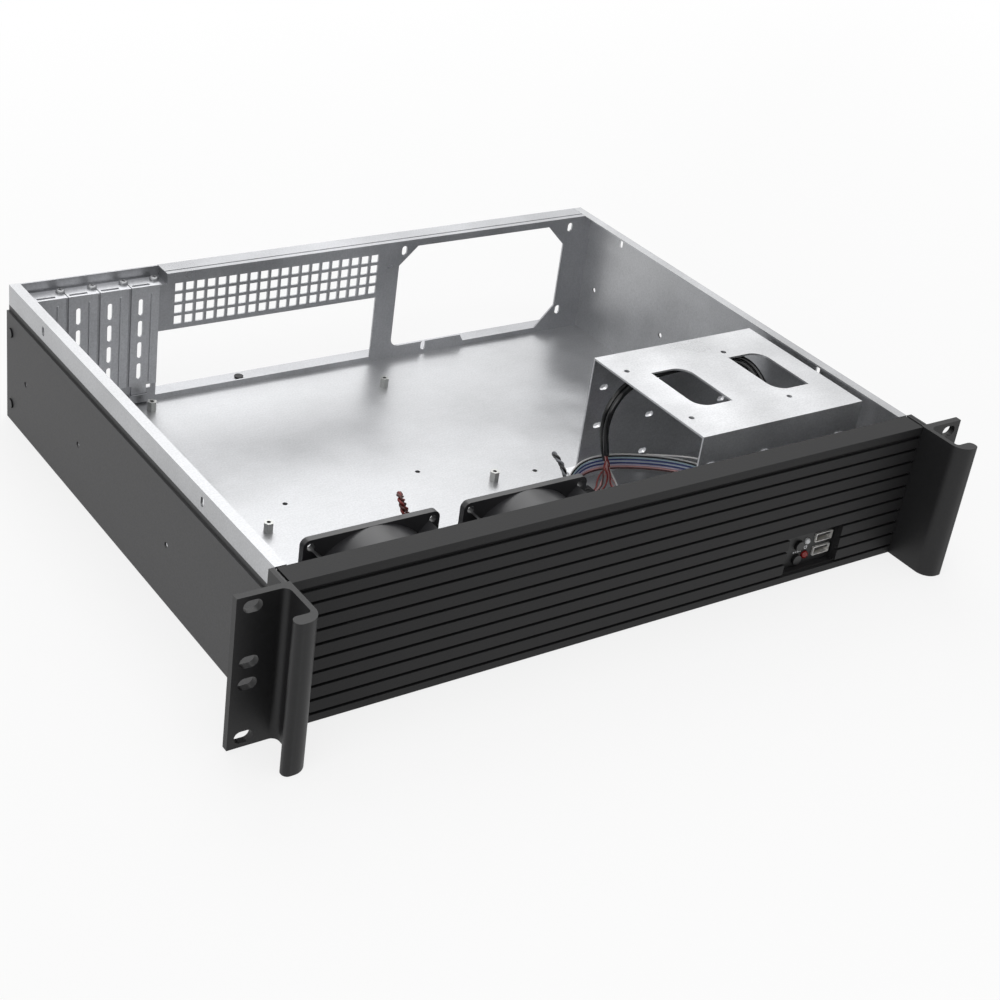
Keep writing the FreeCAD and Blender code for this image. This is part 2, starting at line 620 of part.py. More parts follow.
def air_slots():
    """Slots through the floors of the grooves in front of the fans."""
    slots = []
    for fan in range(int(size("fan_count"))):
        for side in ("-", "+"):
            x = "fan_x + %d * fan_pitch %s air_slot_pitch / 2" % (fan, side)
            for index in range(1, int(size("groove_count")) - 1):
                z = "groove_first + %d * groove_pitch" % index
                slots.append(block("air_slot", ("%s - air_slot_long / 2" % x, "%s + air_slot_long / 2" % x),
                                   ("fascia_y + groove_deep - 0.5", "fascia_back + 1"),
                                   ("%s - air_slot_high / 2" % z, "%s + air_slot_high / 2" % z)))
    return slots


def make_bulkhead():
    """The inner front wall with the fan openings and its flanges."""
    front = ("bulkhead_y", "fan_y")
    ahead = ("fascia_back + fit_gap", "fan_y")
    inner = "wall_x - sheet"
    under_lip = "body_height - fit_gap - fascia_flange"
    pieces = [
        block("low_web", ("-(%s)" % inner, inner), front, ("sheet", "lid_step_z - sheet")),
        block("high_web", ("-(skirt_x - fit_gap)", "skirt_x - fit_gap"), front, ("sheet", under_lip)),
        block("top_flange_part", ("-(skirt_x - fit_gap)", "skirt_x - fit_gap"), ahead,
              ("%s - sheet" % under_lip, under_lip)),
    ]
    for side in (-1, 1):
        pieces.append(block("side_flange", sided(side, "wall_x - 2 * sheet", inner), ahead,
                            ("handle_screw_low / 2", "lid_step_z - 2 * sheet")))
    tools = [block("socket_window",
                   ("recess_x - recess_width / 2 - 7.5", "recess_x + recess_width / 2 + 7.5"),
                   ("bulkhead_y - 1", "fan_y + 1"),
                   ("fascia_flange + sheet", "recess_z + recess_height / 2 + 7"))]
    for fan in range(int(size("fan_count"))):
        x = "fan_x + %d * fan_pitch" % fan
        tools.append(rod("fan_opening", "y", (x, "bulkhead_y - 1", "fan_z"), "fan_bore / 2", "sheet + 2"))
        for spot in fan_hole_spots(x, "bulkhead_y - 1"):
            tools.append(rod("fan_screw_hole", "y", spot, "small_screw + fit_gap", "sheet + 2"))
    for side in (-1, 1):
        start = "wall_x - 3 * sheet" if side > 0 else "-wall_x"
        for spot in handle_screw_spots(start):
            tools.append(rod("flange_hole", "x", spot, "handle_screw_bore + fit_gap / 2", "3 * sheet"))
    for x in fascia_screw_columns():
        tools.append(rod("lip_hole", "z", (x, "(fascia_back + bulkhead_y) / 2", "%s - 2 * sheet" % under_lip),
                         "small_screw + fit_gap / 2", "3 * sheet"))
    node(less("Bulkhead", joined("bulkhead_sheet", pieces), tools), "front_bulkhead")


def fascia_screw_columns():
    return ("fan_x + fan_pitch / 2", "0", "-(fan_x + fan_pitch / 2)")


def make_fascia_screws():
    """Screws from below through the bulkhead's flange into the fascia's top lip."""
    screws = []
    for x in fascia_screw_columns():
        seat_point = (x, "(fascia_back + bulkhead_y) / 2", "body_height - fit_gap - fascia_flange - sheet")
        screws.append(pan_screw("fascia_screw", "z", seat_point, "sheet", up=False))
    node(together("FasciaScrews", screws), "fascia_screws")


def make_handle(side, label):
    """An extruded handle: rack ear, web, rounded lip and the leg screwed to the side wall."""
    sign = "" if side > 0 else "-"
    body = doc.addObject("PartDesign::Body", "Handle%s" % ("Right" if side > 0 else "Left"))
    back, front = "face_y + ear_thick", "face_y"
    tip = "face_y - handle_reach"
    web_out = "web_x + web_thick"
    end = "web_x + lip_width"
    points = [
        ("web_x", back), ("wall_x", back), ("wall_x", "bulkhead_y"),
        ("wall_x + leg_thick", "bulkhead_y"), ("wall_x + leg_thick", back),
        ("ear_span / 2", back), ("ear_span / 2", front), (web_out, front),
        (web_out, "%s + lip_thick" % tip), (end, "%s + lip_thick" % tip),
        (end, tip), ("web_x", tip),
    ]
    sketch = outline(body, label + "_sketch", "XY_Plane",
                     [("%s(%s)" % (sign, x), y) for x, y in points])
    pad = body.newObject("PartDesign::Pad", label + "_pad")
    pad.Profile = sketch
    pad.setExpression("Length", bound("face_height"))
    doc.recompute()
    web = places.web_x
    outer = web + size("web_thick")
    lip = web + size("lip_width")
    nose = places.face_y - size("handle_reach")
    inner = nose + size("lip_thick")
    rounded(body, label + "_bend", [(side * web, nose)], "handle_bend")
    rounded(body, label + "_root", [(side * outer, places.face_y)], "root_radius")
    rounded(body, label + "_nose", [(side * lip, nose), (side * lip, inner)], "lip_round")
    rounded(body, label + "_palm", [(side * outer, inner)], "lip_round / 1.5")
    tools = []
    for row in ("-rack_row_far", "-rack_row_near", "rack_row_near", "rack_row_far"):
        spot = ("%s(rack_columns / 2)" % sign, "face_y - 1", "face_height / 2 + %s" % row)
        tools.append(obround("ear_slot", "y", spot, "(ear_slot_long - ear_slot_high) / 2",
                             "ear_slot_high / 2", "x", "ear_thick + 2"))
    start = "wall_x" if side > 0 else "-wall_x - leg_thick"
    for spot in handle_screw_spots(start):
        wide, narrow = "handle_screw_bore + leg_thick + fit_gap / 2", "handle_screw_bore + fit_gap / 2"
        first, last = (narrow, wide) if side > 0 else (wide, narrow)
        tools.append(cone("countersink", "x", spot, first, last, "leg_thick"))
    node(less("%sHandle" % ("Right" if side > 0 else "Left"), body, tools), label)


def make_handle_screws():
    """Countersunk screws through the handles' legs, the walls and the bulkhead's flanges."""
    screws = []
    for side in (-1, 1):
        face = "wall_x" if side > 0 else "-wall_x - leg_thick"
        shank_start = "wall_x - 2.5 * sheet" if side > 0 else "-wall_x - leg_thick"
        wide, narrow = "handle_screw_bore + leg_thick", "handle_screw_bore"
        first, last = (narrow, wide) if side > 0 else (wide, narrow)
        for head, shank in zip(handle_screw_spots(face), handle_screw_spots(shank_start)):
            screws.append(joined("handle_screw", [
                cone("head", "x", head, first, last, "leg_thick"),
                rod("shank", "x", shank, narrow, "leg_thick + 2.5 * sheet")]))
    node(together("HandleScrews", screws), "handle_screws")


# ---------------------------------------------------------------- fans

def fan_hole_spots(x, y):
    """The four corner holes of a fan."""
    spots = []
    for across in ("-", "+"):
        for up in ("-", "+"):
            spots.append(("%s %s fan_hole_pitch / 2" % (x, across), y, "fan_z %s fan_hole_pitch / 2" % up))
    return spots


def fan_flange(x, y_low, y_high):
    """A square plate with rounded corners, the fan's face."""
    half = "fan_size / 2"
    wide = ("%s - %s" % (x, half), "%s + %s" % (x, half))
    less_wide = ("%s - %s + fan_corner" % (x, half), "%s + %s - fan_corner" % (x, half))
    tall = ("fan_z - %s" % half, "fan_z + %s" % half)
    less_tall = ("fan_z - %s + fan_corner" % half, "fan_z + %s - fan_corner" % half)
    pieces = [block("plate_a", wide, (y_low, y_high), less_tall),
              block("plate_b", less_wide, (y_low, y_high), tall)]
    for px in less_wide:
        for pz in less_tall:
            pieces.append(rod("corner", "y", (px, y_low, pz), "fan_corner", "%s - (%s)" % (y_high, y_low)))
    return pieces


def make_fan(number):
    """One fan: a frame with two flanges, a motor on struts and the blade wheel."""
    x = "fan_x + %d * fan_pitch" % (number - 1)
    barrel = rod("barrel", "y", (x, "fan_y", "fan_z"), "fan_size / 2 - fit_gap / 2", "fan_deep")
    ribs = []
    for angle in (-45, 45, 135, 225):
        rib = doc.addObject("Part::Box", "corner_rib")
        rib.Placement = FreeCAD.Placement(
            FreeCAD.Vector(), FreeCAD.Rotation(FreeCAD.Vector(0, 1, 0), angle))
        rib.setExpression("Length", bound("fan_hole_pitch * 0.7071 - fan_hole / 2 + 0.3"))
        rib.setExpression("Width", bound("fan_deep - fan_flange"))
        rib.setExpression("Height", bound("sheet"))
        seat(rib, (x, "fan_y + fan_flange / 2", "fan_z"))
        ribs.append(rib)
    shell = joined("fan_shell", fan_flange(x, "fan_y", "fan_y + fan_flange")
                   + fan_flange(x, "fan_back - fan_flange", "fan_back") + [barrel] + ribs)
    tools = [rod("bore", "y", (x, "fan_y - 1", "fan_z"), "fan_bore / 2", "fan_deep + 2")]
    for spot in fan_hole_spots(x, "fan_y - 1"):
        tools.append(rod("corner_hole", "y", spot, "fan_hole / 2", "fan_deep + 2"))
    ring = less("fan_ring", shell, tools)
    plate = rod("motor_plate_disc", "y", (x, "fan_back - motor_plate", "fan_z"),
                "motor_diameter / 2", "motor_plate")
    struts = []
    for angle in (-45, 45, 135, 225):
        strut = doc.addObject("Part::Box", "strut")
        strut.Placement = FreeCAD.Placement(
            FreeCAD.Vector(), FreeCAD.Rotation(FreeCAD.Vector(0, 1, 0), angle))
        strut.setExpression("Length", bound("fan_bore / 2 + 0.5"))
        strut.setExpression("Width", bound("motor_plate"))
        strut.setExpression("Height", bound("motor_plate"))
        seat(strut, (x, "fan_back - motor_plate", "fan_z"))
        struts.append(strut)
    tube = rod("bearing_tube", "y", (x, "fan_back - hub_deep + 2", "fan_z"),
               "shaft_diameter * 1.5", "hub_deep - 2")
    solid = joined("fan_body", [ring, plate, tube] + struts)
    bearing = rod("bearing", "y", (x, "fan_back - hub_deep", "fan_z"),
                  "shaft_diameter / 2 + bearing_gap", "hub_deep - motor_plate / 2")
    node(less("Fan%dFrame" % number, solid, [bearing]), "fan_%d_frame" % number)
    make_stator(number, x)
    make_impeller(number, x)


def make_stator(number, x):
    """The motor's winding stack on the bearing tube, inside the hub."""
    start = "fan_back - motor_plate - hub_deep / 2"
    core = rod("stack", "y", (x, start, "fan_z"), "hub_diameter / 2 - hub_wall - 2", "hub_deep / 2")
    bore = rod("stack_bore", "y", (x, "%s - 1" % start, "fan_z"),
               "shaft_diameter * 1.5 + bearing_gap", "hub_deep")
    node(less("Fan%dStator" % number, core, [bore]), "fan_%d_stator" % number)


def blade_section(body, name, radius, angle):
    """One thin section of a blade, square to the radius and turned to its pitch."""
    sketch = outline(body, name, "YZ_Plane", [
        ("-blade_chord / 2 * cos(%s) - blade_thick / 2 * sin(%s)" % (angle, angle),
         "-blade_chord / 2 * sin(%s) + blade_thick / 2 * cos(%s)" % (angle, angle)),
        ("-blade_chord / 2 * cos(%s) + blade_thick / 2 * sin(%s)" % (angle, angle),
         "-blade_chord / 2 * sin(%s) - blade_thick / 2 * cos(%s)" % (angle, angle)),
        ("blade_chord / 2 * cos(%s) + blade_thick / 2 * sin(%s)" % (angle, angle),
         "blade_chord / 2 * sin(%s) - blade_thick / 2 * cos(%s)" % (angle, angle)),
        ("blade_chord / 2 * cos(%s) - blade_thick / 2 * sin(%s)" % (angle, angle),
         "blade_chord / 2 * sin(%s) + blade_thick / 2 * cos(%s)" % (angle, angle)),
    ])
    sketch.setExpression("AttachmentOffset.Base.z", bound(radius))
    return sketch


def make_impeller(number, x):
    """The blade wheel: a cup-shaped hub on a shaft with twisted blades round it."""
    body = doc.addObject("PartDesign::Body", "Fan%dImpeller" % number)
    profile = outline(body, "hub_profile_%d" % number, "XZ_Plane", [
        ("0", "-hub_deep / 2"), ("hub_diameter / 2", "-hub_deep / 2"),
        ("hub_diameter / 2", "hub_deep / 2"), ("hub_diameter / 2 - hub_wall", "hub_deep / 2"),
        ("hub_diameter / 2 - hub_wall", "-hub_deep / 2 + hub_wall"),
        ("shaft_diameter / 2", "-hub_deep / 2 + hub_wall"),
        ("shaft_diameter / 2", "hub_deep / 2 - 0.4"), ("0", "hub_deep / 2 - 0.4"),
    ])
    hub = body.newObject("PartDesign::Revolution", "hub_%d" % number)
    hub.Profile = profile
    hub.ReferenceAxis = (profile, ["V_Axis"])
    hub.Angle = 360
    doc.recompute()
    root = blade_section(body, "blade_root_%d" % number, "hub_diameter / 2 - hub_wall - 0.6", "blade_root_angle")
    tip = blade_section(body, "blade_tip_%d" % number, "fan_bore / 2 + blade_gap", "blade_tip_angle")
    blade = body.newObject("PartDesign::AdditiveLoft", "blade_%d" % number)
    blade.Profile = root
    blade.Sections = [tip]
    blade.Ruled = True
    doc.recompute()
    wheel = body.newObject("PartDesign::PolarPattern", "blades_%d" % number)
    wheel.Originals = [blade]
    wheel.Axis = (profile, ["V_Axis"])
    wheel.Angle = 360
    wheel.Occurrences = int(size("blade_count"))
    body.Tip = wheel
    doc.recompute()
    rim = outline(body, "blade_rim_%d" % number, "XZ_Plane", [
        ("fan_bore / 2 - blade_gap", "-hub_deep"), ("fan_bore / 2 + 8", "-hub_deep"),
        ("fan_bore / 2 + 8", "hub_deep"), ("fan_bore / 2 - blade_gap", "hub_deep")])
    trim = body.newObject("PartDesign::Groove", "blade_tips_%d" % number)
    trim.Profile = rim
    trim.ReferenceAxis = (rim, ["V_Axis"])
    trim.Angle = 360
    doc.recompute()
    body.Placement = FreeCAD.Placement(FreeCAD.Vector(), AXIS_TURN["y"])
    seat(body, (x, "fan_back - motor_plate - hub_deep / 2 - 0.8", "fan_z"))
    node(body, "fan_%d_impeller" % number)


def make_fan_screws():
    """Screws through the bulkhead into the fans' front corner holes."""
    screws = []
    for fan in range(int(size("fan_count"))):
        for spot in fan_hole_spots("fan_x + %d * fan_pitch" % fan, "bulkhead_y"):
            screws.append(pan_screw("fan_screw", "y", spot, "sheet + fan_flange + 2", up=False))
    node(together("FanScrews", screws), "fan_screws")


# ---------------------------------------------------------------- drive cage

def drive_holes(leg_y, outward):
    """Drive slots in one leg of the cage, each with a rim pressed out to the far side."""
    rims, holes = [], []
    for across in ("0", "drive_hole_mid", "drive_hole_far"):
        for row in range(3):
            x = "cage_x + drive_hole_x + %s" % across
            z = "drive_hole_z + %d * drive_hole_pitch" % row
            half = "(drive_slot_long - drive_hole) / 2"
            start = leg_y if outward > 0 else "%s - rim_high" % leg_y
            rims.append(obround("rim", "y", (x, start, z), half, "drive_hole / 2 + rim_wall",
                                "x", "rim_high"))
            holes.append(obround("drive_slot", "y", (x, "%s - 2 * sheet - rim_high" % leg_y, z),
                                 half, "drive_hole / 2", "x", "4 * sheet + 2 * rim_high"))
    return rims, holes


def cage_window(index):
    """A window in the cage's top with two opposite corners rounded wide."""
    left = "cage_x + cage_window_x + %d * cage_window_pitch" % index
    right = "%s + cage_window_wide" % left
    front = "cage_front + cage_window_y"
    back = "%s + cage_window_long" % front
    high = ("cage_height - 2 * sheet", "cage_height + sheet")
    whole = block("window_block", (left, right), (front, back), high)
    keep = []
    for px, py, cx, cy in ((left, front, "%s + cage_window_round" % left, "%s + cage_window_round" % front),
                           (right, back, "%s - cage_window_round" % right, "%s - cage_window_round" % back)):
        xs = (px, cx) if px == left else (cx, px)
        ys = (py, cy) if py == front else (cy, py)
        square = block("corner_block", xs, ys, high)
        disc = rod("corner_disc", "z", (cx, cy, high[0]), "cage_window_round", "3 * sheet")
        keep.append(less("corner_rest", square, [disc]))
    return less("cage_window", whole, keep)


def make_cage():
    """A bent sheet that carries three drives between its legs and two on its top."""
    across = ("cage_x", "cage_end")
    front_leg = ("cage_front", "cage_front + sheet")
    back_leg = ("cage_back - sheet", "cage_back")
    pieces = [
        block("top_plate", across, ("cage_front", "cage_back"), ("cage_height - sheet", "cage_height")),
        block("front_leg", across, front_leg, ("sheet", "cage_height")),
        block("back_leg", across, back_leg, ("sheet", "cage_height")),
        block("front_foot", across, ("cage_front - cage_foot", "cage_front"), ("sheet", "2 * sheet")),
        block("back_foot", across, ("cage_back", "cage_back + cage_foot"), ("sheet", "2 * sheet")),
    ]
    front_rims, front_holes = drive_holes("cage_front", -1)
    back_rims, back_holes = drive_holes("cage_back", 1)
    tools = front_holes + back_holes + [cage_window(0), cage_window(1)]
    for across_step in ("0", "disk_pitch_x"):
        for back_step in ("0", "disk_pitch_y"):
            spot = ("cage_x + disk_hole_x + %s" % across_step,
                    "cage_front + disk_hole_y + %s" % back_step, "cage_height - 2 * sheet")
            tools.append(rod("disk_hole", "z", spot, "drive_hole / 2", "3 * sheet"))
    tools.append(block("cable_hole",
                       ("cage_x + cable_hole_x", "cage_x + cable_hole_x + cable_hole_wide"),
                       ("cage_front - sheet", "cage_front + 3 * sheet"),
                       ("cable_hole_z", "cable_hole_z + cable_hole_high")))
    for x, y in cage_screw_spots():
        tools.append(rod("foot_hole", "z", (x, y, "0"), "small_screw + fit_gap / 2", "3 * sheet"))
    node(less("DriveCage", joined("cage_sheet", pieces + front_rims + back_rims), tools), "drive_cage")
    screws = [pan_screw("cage_screw", "z", (x, y, "2 * sheet"), "2 * sheet")
              for x, y in cage_screw_spots()]
    node(together("CageScrews", screws), "cage_screws")


def make_standoffs():
    """Hexagonal pillars pressed into the floor for the main board."""
    pillars = []
    for x, y in board_spots():
        prism = doc.addObject("Part::Prism", "hexagon")
        prism.Polygon = 6
        prism.setExpression("Circumradius", bound("standoff_round / 2 / cos(30)"))
        prism.setExpression("Height", bound("standoff_high"))
        seat(prism, (x, y, "sheet"))
        pin = rod("pin", "z", (x, y, "0"), "standoff_pin / 2", "sheet + 1")
        bore = rod("thread", "z", (x, y, "sheet + 1.5"), "standoff_bore / 2", "standoff_high")
        pillars.append(less("standoff", joined("pillar", [prism, pin]), [bore]))
    node(together("Standoffs", pillars), "board_standoffs")


# ---------------------------------------------------------------- front sockets

def make_socket_unit():
    """The recessed housing with two sockets, two lamps and two buttons on a small board."""
    wide = "recess_width / 2 + housing_wall"
    tall = "recess_height / 2 + housing_wall"
    outer = block("tub", ("recess_x - (%s)" % wide, "recess_x + %s" % wide),
                  ("fascia_back", "plate_y + housing_wall"), ("recess_z - (%s)" % tall, "recess_z + %s" % tall))
    tabs = block("tabs", ("recess_x - (%s) - 6" % wide, "recess_x + %s + 6" % wide),
                 ("fascia_back", "fascia_back + housing_wall"), ("recess_z - 5", "recess_z + 5"))
    posts = [rod("post", "y", (x, "plate_y + housing_wall / 2", z), "2.4",
                 "circuit_y - plate_y - housing_wall / 2") for x, z in post_spots()]
    hollow = block("tub_inside", ("recess_x - recess_width / 2", "recess_x + recess_width / 2"),
                   ("fascia_back - 1", "plate_y"),
                   ("recess_z - recess_height / 2", "recess_z + recess_height / 2"))
    tools = [hollow]
    for index in range(2):
        z = "usb_z + %d * usb_pitch" % index
        tools.append(block("usb_cut", ("usb_x - usb_wide / 2 - fit_gap", "usb_x + usb_wide / 2 + fit_gap"),
                           ("plate_y - 1", "plate_y + housing_wall + 1"),
                           ("%s - usb_high / 2 - fit_gap" % z, "%s + usb_high / 2 + fit_gap" % z)))
        spot = ("button_x", "plate_y - 1", "button_z + %d * button_pitch" % index)
        tools.append(rod("button_hole", "y", spot, "button_round / 2 + 0.3", "housing_wall + 2"))
    for z, wide_led in (("power_led_z", "power_led_round"), ("drive_led_z", "drive_led_round")):
        tools.append(rod("led_hole", "y", ("led_x", "plate_y - 1", z), "%s / 2 + fit_gap" % wide_led,
                         "housing_wall + 2"))
    for x, z in post_spots():
        tools.append(rod("post_bore", "y", (x, "circuit_y - 5", z), "1.05", "6"))
    for x in tab_screw_columns():
        tools.append(rod("tab_hole", "y", (x, "fascia_back - 1", "recess_z"), "1.3", "housing_wall + 2"))
    node(less("SocketHousing", joined("housing_solid", [outer, tabs] + posts), tools), "socket_housing")
    make_usb_sockets()
    make_lamps()
    make_buttons()
    make_circuit()


def post_spots():
    """Where the housing's posts meet the small board."""
    return (("recess_x - recess_width / 2 + 4.5", "recess_z + recess_height / 2 - 4"),
            ("led_x + 3", "recess_z + recess_height / 2 - 3"))


def tab_screw_columns():
    return ("recess_x - recess_width / 2 - housing_wall - 3", "recess_x + recess_width / 2 + housing_wall + 3")


def make_usb_sockets():
    """Two sockets one above the other: a folded steel shell round a plastic tongue."""
    for index, label in enumerate(("lower", "upper")):
        z = "usb_z + %d * usb_pitch" % index
        deep = ("plate_y - usb_proud", "circuit_y")
        shell = block("shell", ("usb_x - usb_wide / 2", "usb_x + usb_wide / 2"), deep,
                      ("%s - usb_high / 2" % z, "%s + usb_high / 2" % z))
        inside = block("shell_inside", ("usb_x - usb_wide / 2 + usb_wall", "usb_x + usb_wide / 2 - usb_wall"),
                       ("plate_y - usb_proud - 1", "circuit_y + 1"),
                       ("%s - usb_high / 2 + usb_wall" % z, "%s + usb_high / 2 - usb_wall" % z))
        node(less("UsbShell%d" % index, shell, [inside]), "usb_%s_shell" % label)
        half = "usb_wide / 2 - usb_wall - fit_gap / 2"
        room = "usb_high / 2 - usb_wall - fit_gap / 2"
        core = joined("core", [
            block("core_back", ("usb_x - (%s)" % half, "usb_x + %s" % half),
                  ("circuit_y - 3", "circuit_y"), ("%s - (%s)" % (z, room), "%s + %s" % (z, room))),
            block("core_tongue", ("usb_x - (%s) + 0.6" % half, "usb_x + %s - 0.6" % half),
                  ("plate_y - usb_proud + 1", "circuit_y - 3"), ("%s + 0.2" % z, "%s + %s - 0.1" % (z, room)))])
        node(core, "usb_%s_tongue" % label)


def make_lamps():
    """Round-nosed lamps that stand in the housing's face."""
    for label, z, wide in (("power_led", "power_led_z", "power_led_round"),
                           ("drive_led", "drive_led_z", "drive_led_round")):
        stem = rod("lamp_stem", "y", ("led_x", "plate_y - 0.4", z), "%s / 2" % wide, "circuit_y - plate_y + 0.4")
        nose = doc.addObject("Part::Ellipsoid", "lamp_nose")
        nose.Placement = FreeCAD.Placement(FreeCAD.Vector(), AXIS_TURN["y"])
        nose.setExpression("Radius1", bound("%s * 0.36" % wide))
        nose.setExpression("Radius2", bound("%s / 2" % wide))
        nose.setExpression("Radius3", bound("%s / 2" % wide))
        seat(nose, ("led_x", "plate_y - 0.4", z))
        node(joined("Lamp", [stem, nose]), label)


def make_buttons():
    """Two round push buttons with a collar that keeps them behind the housing's face."""
    for index, label in enumerate(("reset_button", "power_button")):
        z = "button_z + %d * button_pitch" % index
        cap = rod("cap", "y", ("button_x", "plate_y - button_proud", z), "button_round / 2",
                  "circuit_y - switch_front_gap - plate_y + button_proud")
        collar = rod("collar", "y", ("button_x", "plate_y + housing_wall + 0.4", z),
                     "button_round / 2 + 1", "1")
        node(joined("Button", [cap, collar]), label)


def make_circuit():
    """The small board, its two switches and the screws that hold it and the housing."""
    board = block("board", ("recess_x - recess_width / 2 - 4.5", "recess_x + recess_width / 2 + 4.5"),
                  ("circuit_y", "circuit_y + board_thick"),
                  ("recess_z - recess_height / 2 - 1.5", "recess_z + recess_height / 2 + 3.5"))
    holes = [rod("board_hole", "y", (x, "circuit_y - 1", z), "1.2", "board_thick + 2")
             for x, z in post_spots()]
    node(less("Circuit", board, holes), "socket_board")
    switches = []
    for index in range(2):
        z = "button_z + %d * button_pitch" % index
        switches.append(block("switch", ("button_x - 3", "button_x + 3"), ("circuit_y - 3.5", "circuit_y"),
                              ("%s - 3" % z, "%s + 3" % z)))
    node(together("Switches", switches), "button_switches")
    screws = []
    for x, z in post_spots():
        screws.append(joined("board_screw", [
            rod("head", "y", (x, "circuit_y + board_thick", z), "2.2", "1.4"),
            rod("shank", "y", (x, "circuit_y - 3", z), "1", "board_thick + 3")]))
    for x in tab_screw_columns():
        screws.append(joined("tab_screw", [
            rod("head", "y", (x, "fascia_back + housing_wall", "recess_z"), "2.2", "1.4"),
            rod("shank", "y", (x, "fascia_back", "recess_z"), "1.2", "housing_wall")]))
    node(together("SocketScrews", screws), "socket_screws")

# ---------------------------------------------------------------- cords

def route_edges(label, points):
    """Straight runs joined by tangent arcs, each as large as its two runs allow."""
    edges, radii = [], []
    start = points[0]
    for before, corner, after in zip(points, points[1:], points[2:]):
        first, second = corner - before, after - corner
        turn = first.getAngle(second)
        radius = 0.45 * min(first.Length, second.Length) / math.tan(turn / 2)
        reach = radius * math.tan(turn / 2)
        first.normalize()
        second.normalize()
        enter, leave = corner - first * reach, corner + second * reach
        inward = (second - first).normalize()
        middle = corner + inward * (radius / math.cos(turn / 2) - radius)
        edges.append(Part.LineSegment(start, enter).toShape())
        edges.append(Part.Arc(enter, middle, leave).toShape())
        radii.append(radius)
        start = leave
    edges.append(Part.LineSegment(start, points[-1]).toShape())
    print("%s: radii %s mm" % (label, " ".join("%.0f" % radius for radius in radii)))
    return edges


def swept(label, points, profile, area):
    """A cord: a flat or round section swept along its route, checked by its volume."""
    edges = route_edges(label, points)
    path = Part.Wire(edges)
    solid = path.makePipeShell([profile], True, False)
    if solid.Volume < 0:
        solid.reverse()
    print("%s: %.1f mm long, volume ratio %.4f" % (label, path.Length, solid.Volume / area / path.Length))
    cord = doc.addObject("Part::Feature", label + "_cord")
    cord.Shape = solid
    return node(cord, label)


def in_case(points):
    """Route points from the right wall, the ears' front face and the floor, as places in the case.

    A height below zero is measured down from the drive cage's top.
    """
    wall, face, top = places.wall_x, places.face_y, places.cage_height
    return [FreeCAD.Vector(x + wall, y + face, z if z > 0 else z + top) for x, y, z in points]


def round_cord(label, path, diameter):
    """A cord of round section."""
    heading = (path[1] - path[0]).normalize()
    circle = Part.Wire(Part.Circle(path[0], heading, diameter / 2).toShape())
    swept(label, path, circle, math.pi * diameter ** 2 / 4)


def make_usb_cables():
    """Two round cables from the small board up through the cage and down to their plugs."""
    start = size("board_y") + size("board_thick") + size("header_deep")
    first = in_case([(-67, start, 21), (-67, 45, 21), (-61, 60, 25), (-51, 75, 37),
                     (-40, 90, 52), (-34, 105, -19), (-36, 119, -8.5), (-47.5, 127, -5.6),
                     (-66, 129.2, -5.4), (-83, 128, -6.5), (-104, 128.5, -7.5),
                     (-123, 128, -11), (-135, 127, -22), (-138, 127, 48), (-134, 127, 32),
                     (-130, 127, 19.5), (-131.5, 123.5, 10.5), (-137, 121, 6.5),
                     (-146, 121, 6.5)])
    second = in_case([(-62.4, start, 21), (-62.4, 45, 21), (-56, 59, 25), (-46, 75, 37),
                      (-35, 90, 52), (-29, 107, -18.5), (-31.5, 123, -7.5),
                      (-45, 132, -5.3), (-65, 134, -5.6), (-82, 132.8, -7), (-104, 133.2, -8),
                      (-122, 132.6, -11.5), (-134, 131.6, -23), (-137, 131.6, 48),
                      (-133, 131.6, 32), (-128.5, 131, 19.5), (-126, 126.5, 10),
                      (-126, 119.5, 6.5), (-126, 110, 6.5)])
    long, half = "plug_deep * 1.5", "plug_deep * 0.45"
    high = ("sheet", "12")
    for name, path, along in (("a", first, "x"), ("b", second, "y")):
        round_cord("usb_cable_" + name, path, size("usb_cord"))
        x, y = "%g" % path[-1].x, "%g" % path[-1].y
        across = {"x": ("%s - %s" % (x, long), x), "y": ("%s - %s" % (y, long), y)}
        other = {"x": ("%s - %s" % (y, half), "%s + %s" % (y, half)),
                 "y": ("%s - %s" % (x, half), "%s + %s" % (x, half))}[along]
        sides = (across["x"], other) if along == "x" else (other, across["y"])
        node(block("usb_plug", sides[0], sides[1], high), "usb_plug_" + name)


def make_ribbon():
    """A flat run of ten thin leads on its edge, from the small board to a header plug."""
    start = size("board_y") + size("board_thick") + size("header_deep")
    path = in_case([(-75.5, start, 19), (-75.5, 47, 19), (-76, 64, 18.5), (-76, 82, 17.5),
                    (-78, 100, 16.5), (-87, 116, 16), (-102, 129, 16), (-120, 138, 16),
                    (-137, 140, 15.5), (-148, 137, 11.5), (-156, 131.5, 8.6), (-163, 126, 8.6)])
    wide, thick = size("ribbon_wide"), size("ribbon_thick")
    corners = [path[0] + FreeCAD.Vector(x * thick / 2, 0, z * wide / 2)
               for x, z in ((-1, -1), (1, -1), (1, 1), (-1, 1), (-1, -1))]
    swept("panel_ribbon", path, Part.makePolygon(corners), wide * thick)
    heading = (path[-1] - path[-2]).normalize()
    plug = doc.addObject("Part::Box", "ribbon_plug_block")
    plug.setExpression("Length", bound("plug_deep"))
    plug.setExpression("Width", bound("plug_deep * 0.7"))
    plug.setExpression("Height", bound("ribbon_wide + 2 * sheet"))
    angle = math.degrees(math.atan2(heading.y, heading.x))
    side = FreeCAD.Vector(heading.y, -heading.x, 0).normalize()
    corner = path[-1] + side * size("plug_deep") * 0.35
    plug.Placement = FreeCAD.Placement(corner, FreeCAD.Rotation(FreeCAD.Vector(0, 0, 1), angle))
    plug.setExpression("Placement.Base.z", bound("sheet"))
    node(plug, "ribbon_plug")


